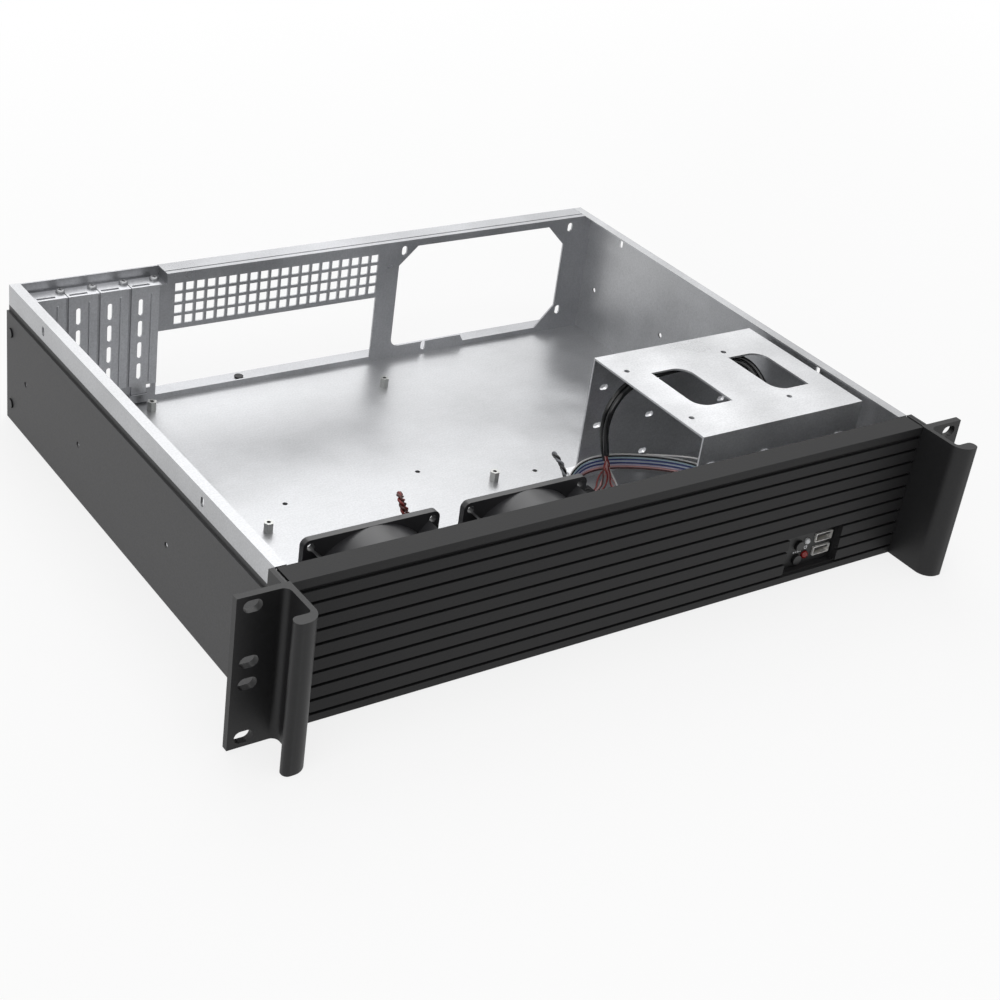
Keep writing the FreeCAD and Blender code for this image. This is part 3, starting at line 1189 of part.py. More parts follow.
def make_headers():
    """Header blocks on the back of the small board, which the cords leave."""
    deep = ("circuit_y + board_thick", "circuit_y + board_thick + header_deep")
    blocks = [block("cable_header", ("wall_x - 70.4", "wall_x - 59"), deep, ("16", "26")),
              block("ribbon_header", ("wall_x - 77.6", "wall_x - 73.4"), deep,
                    ("19 - ribbon_wide / 2 - sheet", "19 + ribbon_wide / 2 + sheet"))]
    node(together("Headers", blocks), "socket_headers")


def make_fan_leads():
    """Each fan's twisted lead: out of the rear corner, up in an arch and down to its plug."""
    back, top = places.fan_back, places.fan_z + places.fan_size / 2
    for number in range(1, int(size("fan_count")) + 1):
        x = size("fan_x") + size("fan_pitch") * (number - 1)
        route = [(29, 0, top - 11), (29, 3.2, top - 11), (29.4, 4.8, top - 6.5),
                 (30, 6, top - 1.5), (33, 11, top + 3.5), (36.8, 17.6, top + 3.5),
                 (39.6, 22.4, top - 2), (40.6, 23.4, top - 13), (41.2, 21.8, top - 28),
                 (41.6, 19.6, top / 2), (42, 18.2, top / 4), (43.4, 17.2, 13),
                 (47.6, 17, 6.6), (54, 17, 3.8), (61, 17, 3.8)]
        path = [FreeCAD.Vector(x + across, back + away, z) for across, away, z in route]
        round_cord("fan_%d_lead" % number, path, size("fan_cord"))
        end, y = "%g" % path[-1].x, "%g" % path[-1].y
        plug = block("fan_plug", (end, "%s + plug_deep * 1.4" % end),
                     ("%s - plug_deep / 2" % y, "%s + plug_deep / 2" % y), ("sheet", "6.4"))
        node(plug, "fan_%d_plug" % number)


KNOWN["switch_front_gap"] = "(3.5 + Size.button_travel + 0.3)"

make_tray()
make_rear_panel()
make_slot_covers()
make_rivets()
make_fascia()
make_bulkhead()
make_fascia_screws()
make_handle(-1, "handle_left")
make_handle(1, "handle_right")
make_handle_screws()
for fan_number in range(1, int(size("fan_count")) + 1):
    make_fan(fan_number)
make_fan_screws()
make_cage()
make_standoffs()
make_socket_unit()
make_headers()
make_usb_cables()
make_ribbon()
make_fan_leads()

doc.recompute()
faults = [thing.Label for thing in doc.Objects if "Invalid" in thing.State or "Error" in thing.State]
for solid in NODES:
    if solid.Shape.isNull() or not solid.Shape.isValid():
        faults.append(solid.Label)
if faults:
    raise ValueError("objects that failed: " + ", ".join(sorted(set(faults))))
os.makedirs("parts", exist_ok=True)
for solid in NODES:
    solid.Shape.exportStep("parts/%s.step" % solid.Label)
    print("%-20s %2d solids %10.1f mm3" % (solid.Label, len(solid.Shape.Solids), solid.Shape.Volume))
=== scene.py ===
"""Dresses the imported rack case: finishes for every folded, extruded and moulded part, and
the small things that the solids leave plain (screws, cords, plugs, contacts, printed marks)."""
import math

import bmesh
import bpy
from mathutils import Matrix, Vector


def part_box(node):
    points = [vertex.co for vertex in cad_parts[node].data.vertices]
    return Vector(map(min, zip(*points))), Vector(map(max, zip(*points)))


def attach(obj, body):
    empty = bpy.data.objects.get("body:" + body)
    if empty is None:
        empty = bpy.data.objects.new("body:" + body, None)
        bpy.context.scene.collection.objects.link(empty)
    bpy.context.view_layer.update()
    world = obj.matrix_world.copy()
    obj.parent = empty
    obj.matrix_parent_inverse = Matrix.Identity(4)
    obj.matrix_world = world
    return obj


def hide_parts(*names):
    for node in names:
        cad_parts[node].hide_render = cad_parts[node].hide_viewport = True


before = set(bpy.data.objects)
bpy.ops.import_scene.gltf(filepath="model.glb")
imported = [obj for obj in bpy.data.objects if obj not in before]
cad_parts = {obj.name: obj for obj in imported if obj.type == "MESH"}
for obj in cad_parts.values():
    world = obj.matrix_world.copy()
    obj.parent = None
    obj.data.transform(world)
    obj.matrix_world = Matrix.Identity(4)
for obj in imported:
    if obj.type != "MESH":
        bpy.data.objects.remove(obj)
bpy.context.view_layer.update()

MM = 0.001
CASE = "case"
LEG_BACK = 0.0170  # a handle's leg ends this far behind the front's face
FACE_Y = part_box("handle_left")[1].y - LEG_BACK

# Ranges of a noise that a finish uses: nearly all of its values lie in the first.
MOST = (0.3, 0.7)
WIDER = (0.25, 0.75)
WHOLE = (0.0, 1.0)

# The way a sheet was rolled, as the stretch of its faint lines along x, y and z.
ALONG_X = (14, 1, 1)
ALONG_Z = (1, 1, 14)


# ------------------------------------------------------------------ finishes

def linear(code):
    """A display colour in hex as the linear colour that a shader takes."""
    parts = [int(code[place:place + 2], 16) / 255 for place in (1, 3, 5)]
    curve = [part / 12.92 if part <= 0.04045 else ((part + 0.055) / 1.055) ** 2.4 for part in parts]
    return (*curve, 1.0)


def add(tree, kind, links=(), values=(), **settings):
    """Adds a shader node with its settings, its input values and the sockets that feed it."""
    node = tree.nodes.new("ShaderNode" + kind)
    for name, setting in settings.items():
        setattr(node, name, setting)
    for name, value in dict(values).items():
        node.inputs[name].default_value = value
    for name, source in dict(links).items():
        tree.links.new(source, node.inputs[name])
    return node


def new_material(name):
    """An empty material with its principled shader and its object coordinates."""
    material = bpy.data.materials.new(name)
    material.use_nodes = True
    tree = material.node_tree
    shader = tree.nodes["Principled BSDF"]
    place = add(tree, "TexCoord").outputs["Object"]
    return material, tree, shader, place


def grain(tree, place, size_mm, stretch=(1, 1, 1), detail=3.0):
    """Noise whose features are about size_mm wide, stretched along an axis where asked."""
    mapped = add(tree, "Mapping", {"Vector": place},
                 {"Scale": [1.0 / (size_mm * MM) / factor for factor in stretch]})
    return add(tree, "TexNoise", {"Vector": mapped.outputs["Vector"]},
               {"Scale": 1.0, "Detail": detail, "Roughness": 0.55}).outputs["Fac"]


def remap(tree, source, low, high, inside=MOST):
    """A value carried from one range onto another, and held at its ends."""
    return add(tree, "MapRange", {"Value": source},
               {"From Min": inside[0], "From Max": inside[1], "To Min": low, "To Max": high}).outputs[0]


def maths(tree, operation, *terms):
    """One operation on sockets and plain numbers."""
    links = {place: term for place, term in enumerate(terms) if isinstance(term, bpy.types.NodeSocket)}
    values = {place: term for place, term in enumerate(terms) if place not in links}
    return add(tree, "Math", links, values, operation=operation).outputs[0]


def shaded(tree, code, tone):
    """A colour made lighter and darker by a tone round 1."""
    return add(tree, "VectorMath", {"Scale": tone}, {0: linear(code)[:3]}, operation="SCALE").outputs[0]


def relief(tree, height, strength, distance):
    """A bump of the shading for marks too fine to be shape."""
    return add(tree, "Bump", {"Height": height}, {"Strength": strength, "Distance": distance}).outputs[0]


def connect(tree, shader, colour, rough, normal=None):
    """Feeds the shader its colour, roughness and, where there is one, its relief."""
    tree.links.new(colour, shader.inputs["Base Color"])
    tree.links.new(rough, shader.inputs["Roughness"])
    if normal:
        tree.links.new(normal, shader.inputs["Normal"])


def zinc_plated_steel(name, code, roll=ALONG_Z, gloss=0.33):
    """Rolled steel with a thin zinc coat: it mirrors softly, with clouds and faint rolling lines."""
    material, tree, shader, place = new_material(name)
    cloud = grain(tree, place, 60, detail=4.0)
    lines = grain(tree, place, 0.8, roll, 2.0)
    speck = grain(tree, place, 1.1, detail=2.0)
    rolled = maths(tree, "MULTIPLY", remap(tree, cloud, 0.82, 1.06), remap(tree, lines, 0.97, 1.03, WIDER))
    tone = maths(tree, "MULTIPLY", rolled, remap(tree, speck, 0.88, 1.08, WIDER))
    rough = remap(tree, cloud, gloss - 0.07, gloss + 0.09)
    connect(tree, shader, shaded(tree, code, tone), rough, relief(tree, speck, 0.12, 0.06 * MM))
    shader.inputs["Metallic"].default_value = 0.85
    return material


def powder_coat(name, code, roughness, grit_mm, strength, mottle=0.06):
    """Baked powder paint: a dark coat whose fine orange peel scatters the light."""
    material, tree, shader, place = new_material(name)
    peel = grain(tree, place, grit_mm, detail=2.0)
    broad = grain(tree, place, 30, detail=3.0)
    speck = remap(tree, peel, 1 - 1.2 * strength, 1 + 1.4 * strength)
    tone = maths(tree, "MULTIPLY", remap(tree, broad, 1 - mottle, 1 + mottle), speck)
    rough = remap(tree, peel, roughness - 0.06, roughness + 0.06, WHOLE)
    connect(tree, shader, shaded(tree, code, tone), rough, relief(tree, peel, strength, 0.2 * MM))
    shader.inputs["Specular IOR Level"].default_value = 0.35
    return material


def moulded_plastic(name, code, roughness=0.45, grit_mm=0.5, strength=0.1):
    """Injection-moulded plastic: spark-eroded, so its sheen is soft, with slight flow marks."""
    material, tree, shader, place = new_material(name)
    spark = grain(tree, place, grit_mm, detail=2.0)
    flow = grain(tree, place, 12, detail=3.0)
    colour = shaded(tree, code, remap(tree, flow, 0.92, 1.08))
    rough = remap(tree, flow, roughness - 0.07, roughness + 0.07, WHOLE)
    connect(tree, shader, colour, rough, relief(tree, spark, strength, 0.1 * MM))
    return material


def plated_metal(name, code, roughness=0.3, wear_mm=1.2, metallic=0.9):
    """A small turned or stamped part: its thin plating glints, and is duller along tool marks."""
    material, tree, shader, place = new_material(name)
    marks = grain(tree, place, wear_mm, detail=4.0)
    colour = shaded(tree, code, remap(tree, marks, 0.88, 1.06))
    connect(tree, shader, colour, remap(tree, marks, roughness - 0.08, roughness + 0.12, WHOLE))
    shader.inputs["Metallic"].default_value = metallic
    return material


def tray_finish():
    """Zinc-plated inside; dark powder coat outside up to a bare band under the top edge.

    The paint is a mask on the sheet: the walls' outer faces with their bores, and the start of the
    stepped-in lid skirt. Beside the handles' legs it goes right up to the top."""
    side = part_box("chassis_tray")[1].x
    outer_face = side - 1.12 * MM
    skirt_face = side - 2.1 * MM
    skirt_start = 71.4 * MM
    paint_top = 75.0 * MM
    cheek_back = FACE_Y + 17.4 * MM
    material = zinc_plated_steel("tray_zinc_and_paint", "#bebfc1", ALONG_X, 0.38)
    tree = material.node_tree
    zinc = tree.nodes["Principled BSDF"]
    place = tree.nodes["Texture Coordinate"].outputs["Object"]
    spot = add(tree, "SeparateXYZ", {"Vector": place})
    away = maths(tree, "ABSOLUTE", spot.outputs["X"])
    allowed = maths(tree, "MAXIMUM", maths(tree, "LESS_THAN", spot.outputs["Z"], paint_top),
                    maths(tree, "LESS_THAN", spot.outputs["Y"], cheek_back))
    wall = maths(tree, "GREATER_THAN", away, outer_face)
    skirt = maths(tree, "MULTIPLY", maths(tree, "GREATER_THAN", away, skirt_face),
                  maths(tree, "GREATER_THAN", spot.outputs["Z"], skirt_start))
    mask = maths(tree, "MULTIPLY", maths(tree, "MAXIMUM", wall, skirt), allowed)
    peel = grain(tree, place, 0.8, detail=2.0)
    paint = add(tree, "BsdfPrincipled", {"Base Color": shaded(tree, "#3a3a3b", remap(tree, peel, 0.8, 1.22)),
                                         "Normal": relief(tree, peel, 0.12, 0.1 * MM)}, {"Roughness": 0.55})
    mixed = add(tree, "MixShader", {"Fac": mask, 1: zinc.outputs[0], 2: paint.outputs[0]})
    tree.links.new(mixed.outputs[0], tree.nodes["Material Output"].inputs["Surface"])
    return material


def dress(material, *names):
    """Gives CAD nodes a finish."""
    for name in names:
        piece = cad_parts[name]
        piece.data.materials.clear()
        piece.data.materials.append(material)


# ------------------------------------------------------------------ tools for new pieces

def only(piece):
    """Makes one piece the only selected and active thing."""
    if bpy.context.mode != "OBJECT":
        bpy.ops.object.mode_set(mode="OBJECT")
    bpy.ops.object.select_all(action="DESELECT")
    piece.select_set(True)
    bpy.context.view_layer.objects.active = piece


def settle(piece, name, material):
    """Puts a finished piece's place into its mesh, and names, dresses and mounts it."""
    only(piece)
    bpy.ops.object.transform_apply(location=True, rotation=True, scale=True)
    piece.name = name
    piece.data.name = name
    piece.data.materials.clear()
    piece.data.materials.append(material)
    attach(piece, CASE)
    return piece


def loose_parts(name):
    """The boxes of the separate solids inside one CAD node, as (low, high) corners."""
    mesh = bmesh.new()
    mesh.from_mesh(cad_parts[name].data)
    bmesh.ops.remove_doubles(mesh, verts=mesh.verts, dist=1e-6)
    left = set(mesh.verts)
    found = []
    while left:
        front = [left.pop()]
        corners = []
        while front:
            vertex = front.pop()
            corners.append(vertex.co.copy())
            for edge in vertex.link_edges:
                other = edge.other_vert(vertex)
                if other in left:
                    left.remove(other)
                    front.append(other)
        low = Vector([min(corner[axis] for corner in corners) for axis in range(3)])
        high = Vector([max(corner[axis] for corner in corners) for axis in range(3)])
        found.append((low, high))
    mesh.free()
    return sorted(found, key=lambda pair: tuple(round(value, 5) for value in pair[0]))


def faces_where(piece, test):
    """Selects faces in edit mode by a test on their centre and normal."""
    mesh = bmesh.from_edit_mesh(piece.data)
    mesh.select_mode = {"FACE"}
    for face in mesh.faces:
        face.select_set(bool(test(face.calc_center_median(), face.normal)))
    mesh.select_flush_mode()
    bmesh.update_edit_mesh(piece.data)


def smooth(piece, degrees=35):
    """Smooth shading that keeps the sharp edges."""
    only(piece)
    bpy.ops.object.shade_smooth_by_angle(angle=math.radians(degrees))


def apply_all(piece):
    """Applies a piece's modifiers in their order."""
    only(piece)
    for modifier in list(piece.modifiers):
        bpy.ops.object.modifier_apply(modifier=modifier.name)


def join(parts):
    """Joins pieces into the first of them."""
    bpy.ops.object.select_all(action="DESELECT")
    for part in parts:
        part.select_set(True)
    bpy.context.view_layer.objects.active = parts[0]
    bpy.ops.object.join()
    return parts[0]


def cut_with(piece, cutters, name="cut"):
    """Cuts other pieces out of a piece and drops them."""
    for cutter in cutters:
        cut = piece.modifiers.new(name, "BOOLEAN")
        cut.operation = "DIFFERENCE"
        cut.object = cutter
    apply_all(piece)
    for cutter in cutters:
        bpy.data.objects.remove(cutter)


def cross_screw(radius, high, shank, reach, domed=True):
    """A cross-recessed screw at the origin: head up, shank down, flat seat at z = 0."""
    bpy.ops.mesh.primitive_cylinder_add(vertices=28, radius=radius, depth=high, location=(0, 0, high / 2))
    piece = bpy.context.active_object
    bpy.ops.object.mode_set(mode="EDIT")
    faces_where(piece, lambda centre, normal: normal.z > 0.9)
    if domed:
        bpy.ops.mesh.bevel(offset=high * 0.55, segments=4, affect="EDGES")
        faces_where(piece, lambda centre, normal: normal.z < -0.9)
    else:
        faces_where(piece, lambda centre, normal: normal.z < -0.9)
        bpy.ops.transform.resize(value=(shank / radius, shank / radius, 1))
    bpy.ops.mesh.inset(thickness=max(radius - shank, 0.00001) if domed else 0.00002)
    bpy.ops.mesh.extrude_region_move(TRANSFORM_OT_translate={"value": (0, 0, -reach)})
    bpy.ops.object.mode_set(mode="OBJECT")
    # The recess is cut by two crossed blades, each about as long as the head's radius.
    bpy.ops.mesh.primitive_cube_add(size=1, location=(0, 0, high))
    blade = bpy.context.active_object
    blade.scale = (radius * 1.15, radius * 0.26, high * 0.9)
    bpy.ops.object.duplicate()
    other = bpy.context.active_object
    other.rotation_euler.z = math.pi / 2
    cut_with(piece, (blade, other), "recess")
    only(piece)
    bpy.ops.object.transform_apply(location=True, rotation=True, scale=True)
    smooth(piece)
    return piece


def copies(model, places):
    """Joins copies of a model, one at each matrix, into one piece, and drops the model."""
    made = []
    for place in places:
        twin = model.copy()
        twin.data = model.data.copy()
        bpy.context.collection.objects.link(twin)
        twin.matrix_world = place
        made.append(twin)
    bpy.data.objects.remove(model)
    return join(made)


def facing(direction, place):
    """A matrix that stands +Z along a direction at a place."""
    turn = Vector((0, 0, 1)).rotation_difference(Vector(direction))
    return Matrix.Translation(place) @ turn.to_matrix().to_4x4()


# ------------------------------------------------------------------ fasteners

def set_screws(node, name, model, places, material):
    """Puts a screw at each place, as one piece that stands for a CAD node."""
    piece = copies(model, places)
    settle(piece, name, material)
    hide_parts(node)


def upright_screws(node, name, material, seat=None):
    """Domed screws, one for each solid of a node, on a given seat or one a head's height down."""
    head = 2.0 * MM
    shank = 1.5 * MM
    parts = loose_parts(node)
    low, high = parts[0]
    if seat is None:
        seat = high.z - head
    model = cross_screw((high.x - low.x) / 2, high.z - seat, shank, seat - low.z)
    places = [facing((0, 0, 1), ((a.x + b.x) / 2, (a.y + b.y) / 2, seat)) for a, b in parts]
    set_screws(node, name, model, places, material)


def handle_screws(material):
    """Three countersunk screws in each handle's leg."""
    parts = loose_parts("handle_screws")
    low, high = parts[0]
    deep = 2.0 * MM
    shank = 2.0 * MM
    model = cross_screw((high.z - low.z) / 2, deep, shank, (high.x - low.x) - deep, domed=False)
    places = []
    for a, b in parts:
        side = 1 if a.x > 0 else -1
        face = (b.x if side > 0 else a.x) - side * deep
        places.append(facing((side, 0, 0), (face, (a.y + b.y) / 2, (a.z + b.z) / 2)))
    set_screws("handle_screws", "handle_leg_screws", model, places, material)


# ------------------------------------------------------------------ plugs, contacts, marks

def bevelled_block(name, size, bevel):
    """A moulded block at the origin: a cube at its size, its edges rolled off."""
    bpy.ops.object.select_all(action="DESELECT")
    bpy.ops.mesh.primitive_cube_add(size=1)
    piece = bpy.context.active_object
    piece.scale = size
    bpy.ops.object.transform_apply(location=False, rotation=False, scale=True)
    bpy.ops.object.mode_set(mode="EDIT")
    bpy.ops.mesh.select_all(action="SELECT")
    bpy.ops.mesh.bevel(offset=bevel, segments=2, affect="EDGES")
    bpy.ops.object.mode_set(mode="OBJECT")
    piece.name = name
    return piece


def header_plug(node, size, turn, ways, material):
    """A crimp housing: long along x, with a row of latch windows on its top."""
    long, wide, high = size
    piece = bevelled_block(node + "_housing", (long, wide, high), 0.25 * MM)
    windows = []
    step = wide / ways
    for way in range(ways):
        across = (way - (ways - 1) / 2) * step
        bpy.ops.mesh.primitive_cube_add(size=1, location=(long * 0.12, across, high / 2))
        window = bpy.context.active_object
        window.scale = (long * 0.34, step * 0.5, 0.9 * MM)
        windows.append(window)
    cut_with(piece, windows)
    low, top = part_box(node)
    piece.rotation_euler.z = turn
    piece.location = (low + top) / 2
    smooth(piece)
    settle(piece, node + "_housing", material)
    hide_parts(node)


def plugs(material):
    """The crimp housings at the cords' ends."""
    for letter, turn in (("a", 0.0), ("b", math.pi / 2)):
        low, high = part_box("usb_plug_" + letter)
        wide, long = sorted((high.x - low.x, high.y - low.y))
        header_plug("usb_plug_" + letter, (long, wide, high.z - low.z), turn, 2, material)
    for number in (1, 2):
        low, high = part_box("fan_%d_plug" % number)
        size = (high.x - low.x, high.y - low.y, high.z - low.z)
        header_plug("fan_%d_plug" % number, size, 0.0, 3, material)
    low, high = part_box("ribbon_plug")
    along_the_leads = math.atan2(-5.5, -7)
    header_plug("ribbon_plug", (8 * MM, 5.6 * MM, high.z - low.z), along_the_leads, 2, material)


def usb_contacts(material):
    """Four sprung contacts on the underside of each socket's tongue."""
    strips = []
    for label in ("lower", "upper"):
        low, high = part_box("usb_%s_tongue" % label)
        shell_low, shell_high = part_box("usb_%s_shell" % label)
        middle = (low.x + high.x) / 2
        under = (shell_low.z + shell_high.z) / 2 + 0.2 * MM
        for across in (-3.5, -1.0, 1.0, 3.5):
            strip = bevelled_block("contact", (1.0 * MM, 6.4 * MM, 0.24 * MM), 0.08 * MM)
            strip.location = (middle + across * MM, low.y + 4.2 * MM, under)
            strips.append(strip)
    settle(join(strips), "usb_contacts", material)


def panel_marks(ink):
    """Printed marks on the housing's face: a power ring between the lamps, dashes by the buttons."""
    film = 0.08 * MM
    rounding = 0.03 * MM
    lamp_low, lamp_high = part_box("drive_led")
    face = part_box("usb_lower_shell")[0].y + 1.2 * MM
    x, z = (lamp_low.x + lamp_high.x) / 2, (lamp_high.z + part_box("power_led")[0].z) / 2
    discs = []
    for radius, depth in ((1.35 * MM, film), (0.7 * MM, 1 * MM)):
        bpy.ops.mesh.primitive_cylinder_add(vertices=40, radius=radius, depth=depth, location=(x, face, z),
                                            rotation=(math.pi / 2, 0, 0))
        discs.append(bpy.context.active_object)
    ring, hole = discs
    bpy.ops.mesh.primitive_cube_add(size=1, location=(x, face, z + 1.1 * MM))
    gap = bpy.context.active_object
    gap.scale = (0.9 * MM, 1 * MM, 1.3 * MM)
    cut_with(ring, [hole, gap])
    bar = bevelled_block("bar", (0.36 * MM, film, 1.2 * MM), rounding)
    bar.location = (x, face, z + 0.75 * MM)
    parts = [ring, bar]
    low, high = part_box("power_button")
    level = (low.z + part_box("reset_button")[1].z) / 2
    start = (low.x + high.x) / 2 - 2.6 * MM
    for index, long in enumerate((1.2, 0.9, 1.5, 0.9)):
        dash = bevelled_block("dash", (long * MM, film, 0.9 * MM), rounding)
        dash.location = (start + index * 1.75 * MM, face, level)
        parts.append(dash)
    settle(join(parts), "panel_marks", ink)


# ------------------------------------------------------------------ cords

def spline(name, points):
    """An open smooth curve with the route's points as its control points."""
    curve = bpy.data.curves.new(name, "CURVE")
    curve.dimensions = "3D"
    line = curve.splines.new("NURBS")
    line.points.add(len(points) - 1)
    for point, (x, y, z) in zip(line.points, points):
        point.co = (x * MM, y * MM + FACE_Y, z * MM, 1)
    line.order_u = 3
    line.use_endpoint_u = True
    line.resolution_u = 12
    piece = bpy.data.objects.new(name, curve)
    bpy.context.collection.objects.link(piece)
    return piece


def smooth_route(points):
    """Points along the route's smooth curve, read from it with no thickness."""
    guide = spline("guide", points)
    mesh = bpy.data.meshes.new_from_object(guide)
    line = [vertex.co.copy() for vertex in mesh.vertices]
    bpy.data.objects.remove(guide)
    bpy.data.meshes.remove(mesh)
    return line


def strand(line, radius, sides=10):
    """Rings of points round a line, as vertices and faces of a closed tube."""
    mesh = bmesh.new()
    rings = []
    up = Vector((0, 0, 1))
    for index, point in enumerate(line):
        ahead = line[min(index + 1, len(line) - 1)] - line[max(index - 1, 0)]
        ahead.normalize()
        side = ahead.cross(up)
        if side.length < 0.2:
            side = ahead.cross(Vector((1, 0, 0)))
        side.normalize()
        if rings and side.dot(last_side) < 0:
            side.negate()
        last_side = side
        lift = side.cross(ahead)
        ring = []
        for step in range(sides):
            angle = 2 * math.pi * step / sides
            ring.append(mesh.verts.new(point + (side * math.cos(angle) + lift * math.sin(angle)) * radius))
        rings.append(ring)
    for first, second in zip(rings, rings[1:]):
        for step in range(sides):
            after = (step + 1) % sides
            mesh.faces.new((first[step], first[after], second[after], second[step]))
    mesh.faces.new(reversed(rings[0]))
    mesh.faces.new(rings[-1])
    bmesh.ops.recalc_face_normals(mesh, faces=mesh.faces)
    return mesh


def strand_piece(name, strands, sides=10):
    """Several strands as one piece: each has its line, its radius and its sheath's material."""
    whole = bmesh.new()
    materials = []
    for line, radius, material in strands:
        if material not in materials:
            materials.append(material)
        tube = strand(line, radius, sides)
        single = bpy.data.meshes.new("strand")
        tube.to_mesh(single)
        tube.free()
        before = len(whole.faces)
        whole.from_mesh(single)
        whole.faces.ensure_lookup_table()
        for face in whole.faces[before:]:
            face.material_index = materials.index(material)
            face.smooth = True
        bpy.data.meshes.remove(single)
    data = bpy.data.meshes.new(name)
    whole.to_mesh(data)
    whole.free()
    piece = bpy.data.objects.new(name, data)
    bpy.context.collection.objects.link(piece)
    for material in materials:
        data.materials.append(material)
    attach(piece, CASE)
    return piece


def travelled(line):
    """The distance along a line at each of its points."""
    along = [0.0]
    for before, after in zip(line, line[1:]):
        along.append(along[-1] + (after - before).length)
    return along


def beside(line, shift):
    """A line that keeps beside another, shifted by across and up amounts that vary along it."""
    reach = travelled(line)
    moved = []
    for index, point in enumerate(line):
        ahead = (line[min(index + 1, len(line) - 1)] - line[max(index - 1, 0)]).normalized()
        across = ahead.cross(Vector((0.1, 0.3, 1))).normalized()
        up = across.cross(ahead)
        side, lift = shift(reach[index] / reach[-1])
        moved.append(point + across * side + up * lift)
    return moved


def usb_cables(sheath, wires):
    """Two sheathed cables up through the cage; near their plugs the four wires fan out bare."""
    routes = {
        "a": [(147, 31.5, 21), (147, 45, 21), (153, 60, 25), (163, 75, 37), (174, 90, 52),
              (180, 105, 67), (178, 119, 77.5), (166.5, 127, 80.4), (148, 129.2, 80.6),
              (131, 128, 79.5), (110, 128.5, 78.5), (91, 128, 75), (79, 127, 64), (76, 127, 48),
              (80, 127, 32), (82.5, 127, 21.5), (80, 125.5, 13.5), (75.5, 122, 7.5), (68, 121, 6.5)],
        "b": [(151.6, 31.5, 21), (151.6, 45, 21), (158, 59, 25), (168, 75, 37), (179, 90, 52),
              (185, 107, 67.5), (182.5, 123, 78.5), (169, 132, 80.7), (149, 134, 80.4),
              (132, 132.8, 79), (110, 133.2, 78), (92, 132.6, 74.5), (80, 131.6, 63),
              (77, 131.6, 48), (81, 131.6, 32), (85.5, 131, 19.5), (88, 126.5, 10),
              (88, 119.5, 6.5), (88, 110, 6.5)],
    }
    bare = 31 * MM
    sheath_radius, wire_radius = 1.8 * MM, 0.55 * MM
    for letter, points in routes.items():
        line = smooth_route(points)
        reach = travelled(line)
        last = next(index for index, far in enumerate(reach) if far > reach[-1] - bare)
        strands = [(line[:last], sheath_radius, sheath)]
        tail = line[last - 2:]  # two points back, so that the wires start inside the sheath
        for index, wire in enumerate(wires[letter]):
            rank = index - 1.5
            turn = math.pi / 2 * index

            def spread(share, rank=rank, turn=turn):
                # Bunched at the sheath, loose halfway, and 1.5 mm apart in a row at the plug.
                fan = math.sin(math.pi * min(1.0, share * 1.05)) ** 2
                close = (1 - share) * 0.75 * MM
                side = math.cos(turn) * close + rank * (1.4 * fan + 1.5 * share) * MM
                lift = math.sin(turn) * close + (0.9 * fan * (1 if index % 2 else -1)) * MM
                return side, lift

            strands.append((beside(tail, spread), wire_radius, wire))
        piece = strand_piece("usb_cord_" + letter, strands)
        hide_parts("usb_cable_" + letter)


def ribbon(colours):
    """Nine thin leads side by side on edge, from the small board down to their plug."""
    points = [(138.5, 31.5, 19), (138.5, 47, 19), (138, 64, 21), (138, 82, 21.5),
              (136, 100, 20.5), (127, 116, 18.5), (112, 129, 17), (94, 138, 16.3), (77, 140, 15.5),
              (66, 137, 11.5), (58, 131.5, 8.6), (51, 126, 8.6)]
    line = smooth_route(points)
    radius, pitch = 0.5 * MM, 1.1 * MM
    waver = 0.12 * MM
    strands = []
    for index, colour in enumerate(colours):
        level = ((len(colours) - 1) / 2 - index) * pitch

        def place(share, level=level, index=index):
            return math.sin(share * 23 + index * 1.7) * waver, level

        strands.append((beside(line, place), radius, colour))
    piece = strand_piece("ribbon_leads", strands, 8)
    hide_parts("panel_ribbon")


def stray_lead(colour):
    """One loose white lead that leaves the ribbon's top edge and goes back to the small board."""
    points = [(114, 127.6, 22.3), (122, 121, 23.6), (130, 110, 27), (136, 96, 30.5), (140, 78, 31.5),
              (140.4, 58, 28), (138.6, 43, 25.4), (138.6, 31.5, 25.4)]
    line = smooth_route(points)
    piece = strand_piece("stray_lead", [(line, 0.6 * MM, colour)], 8)


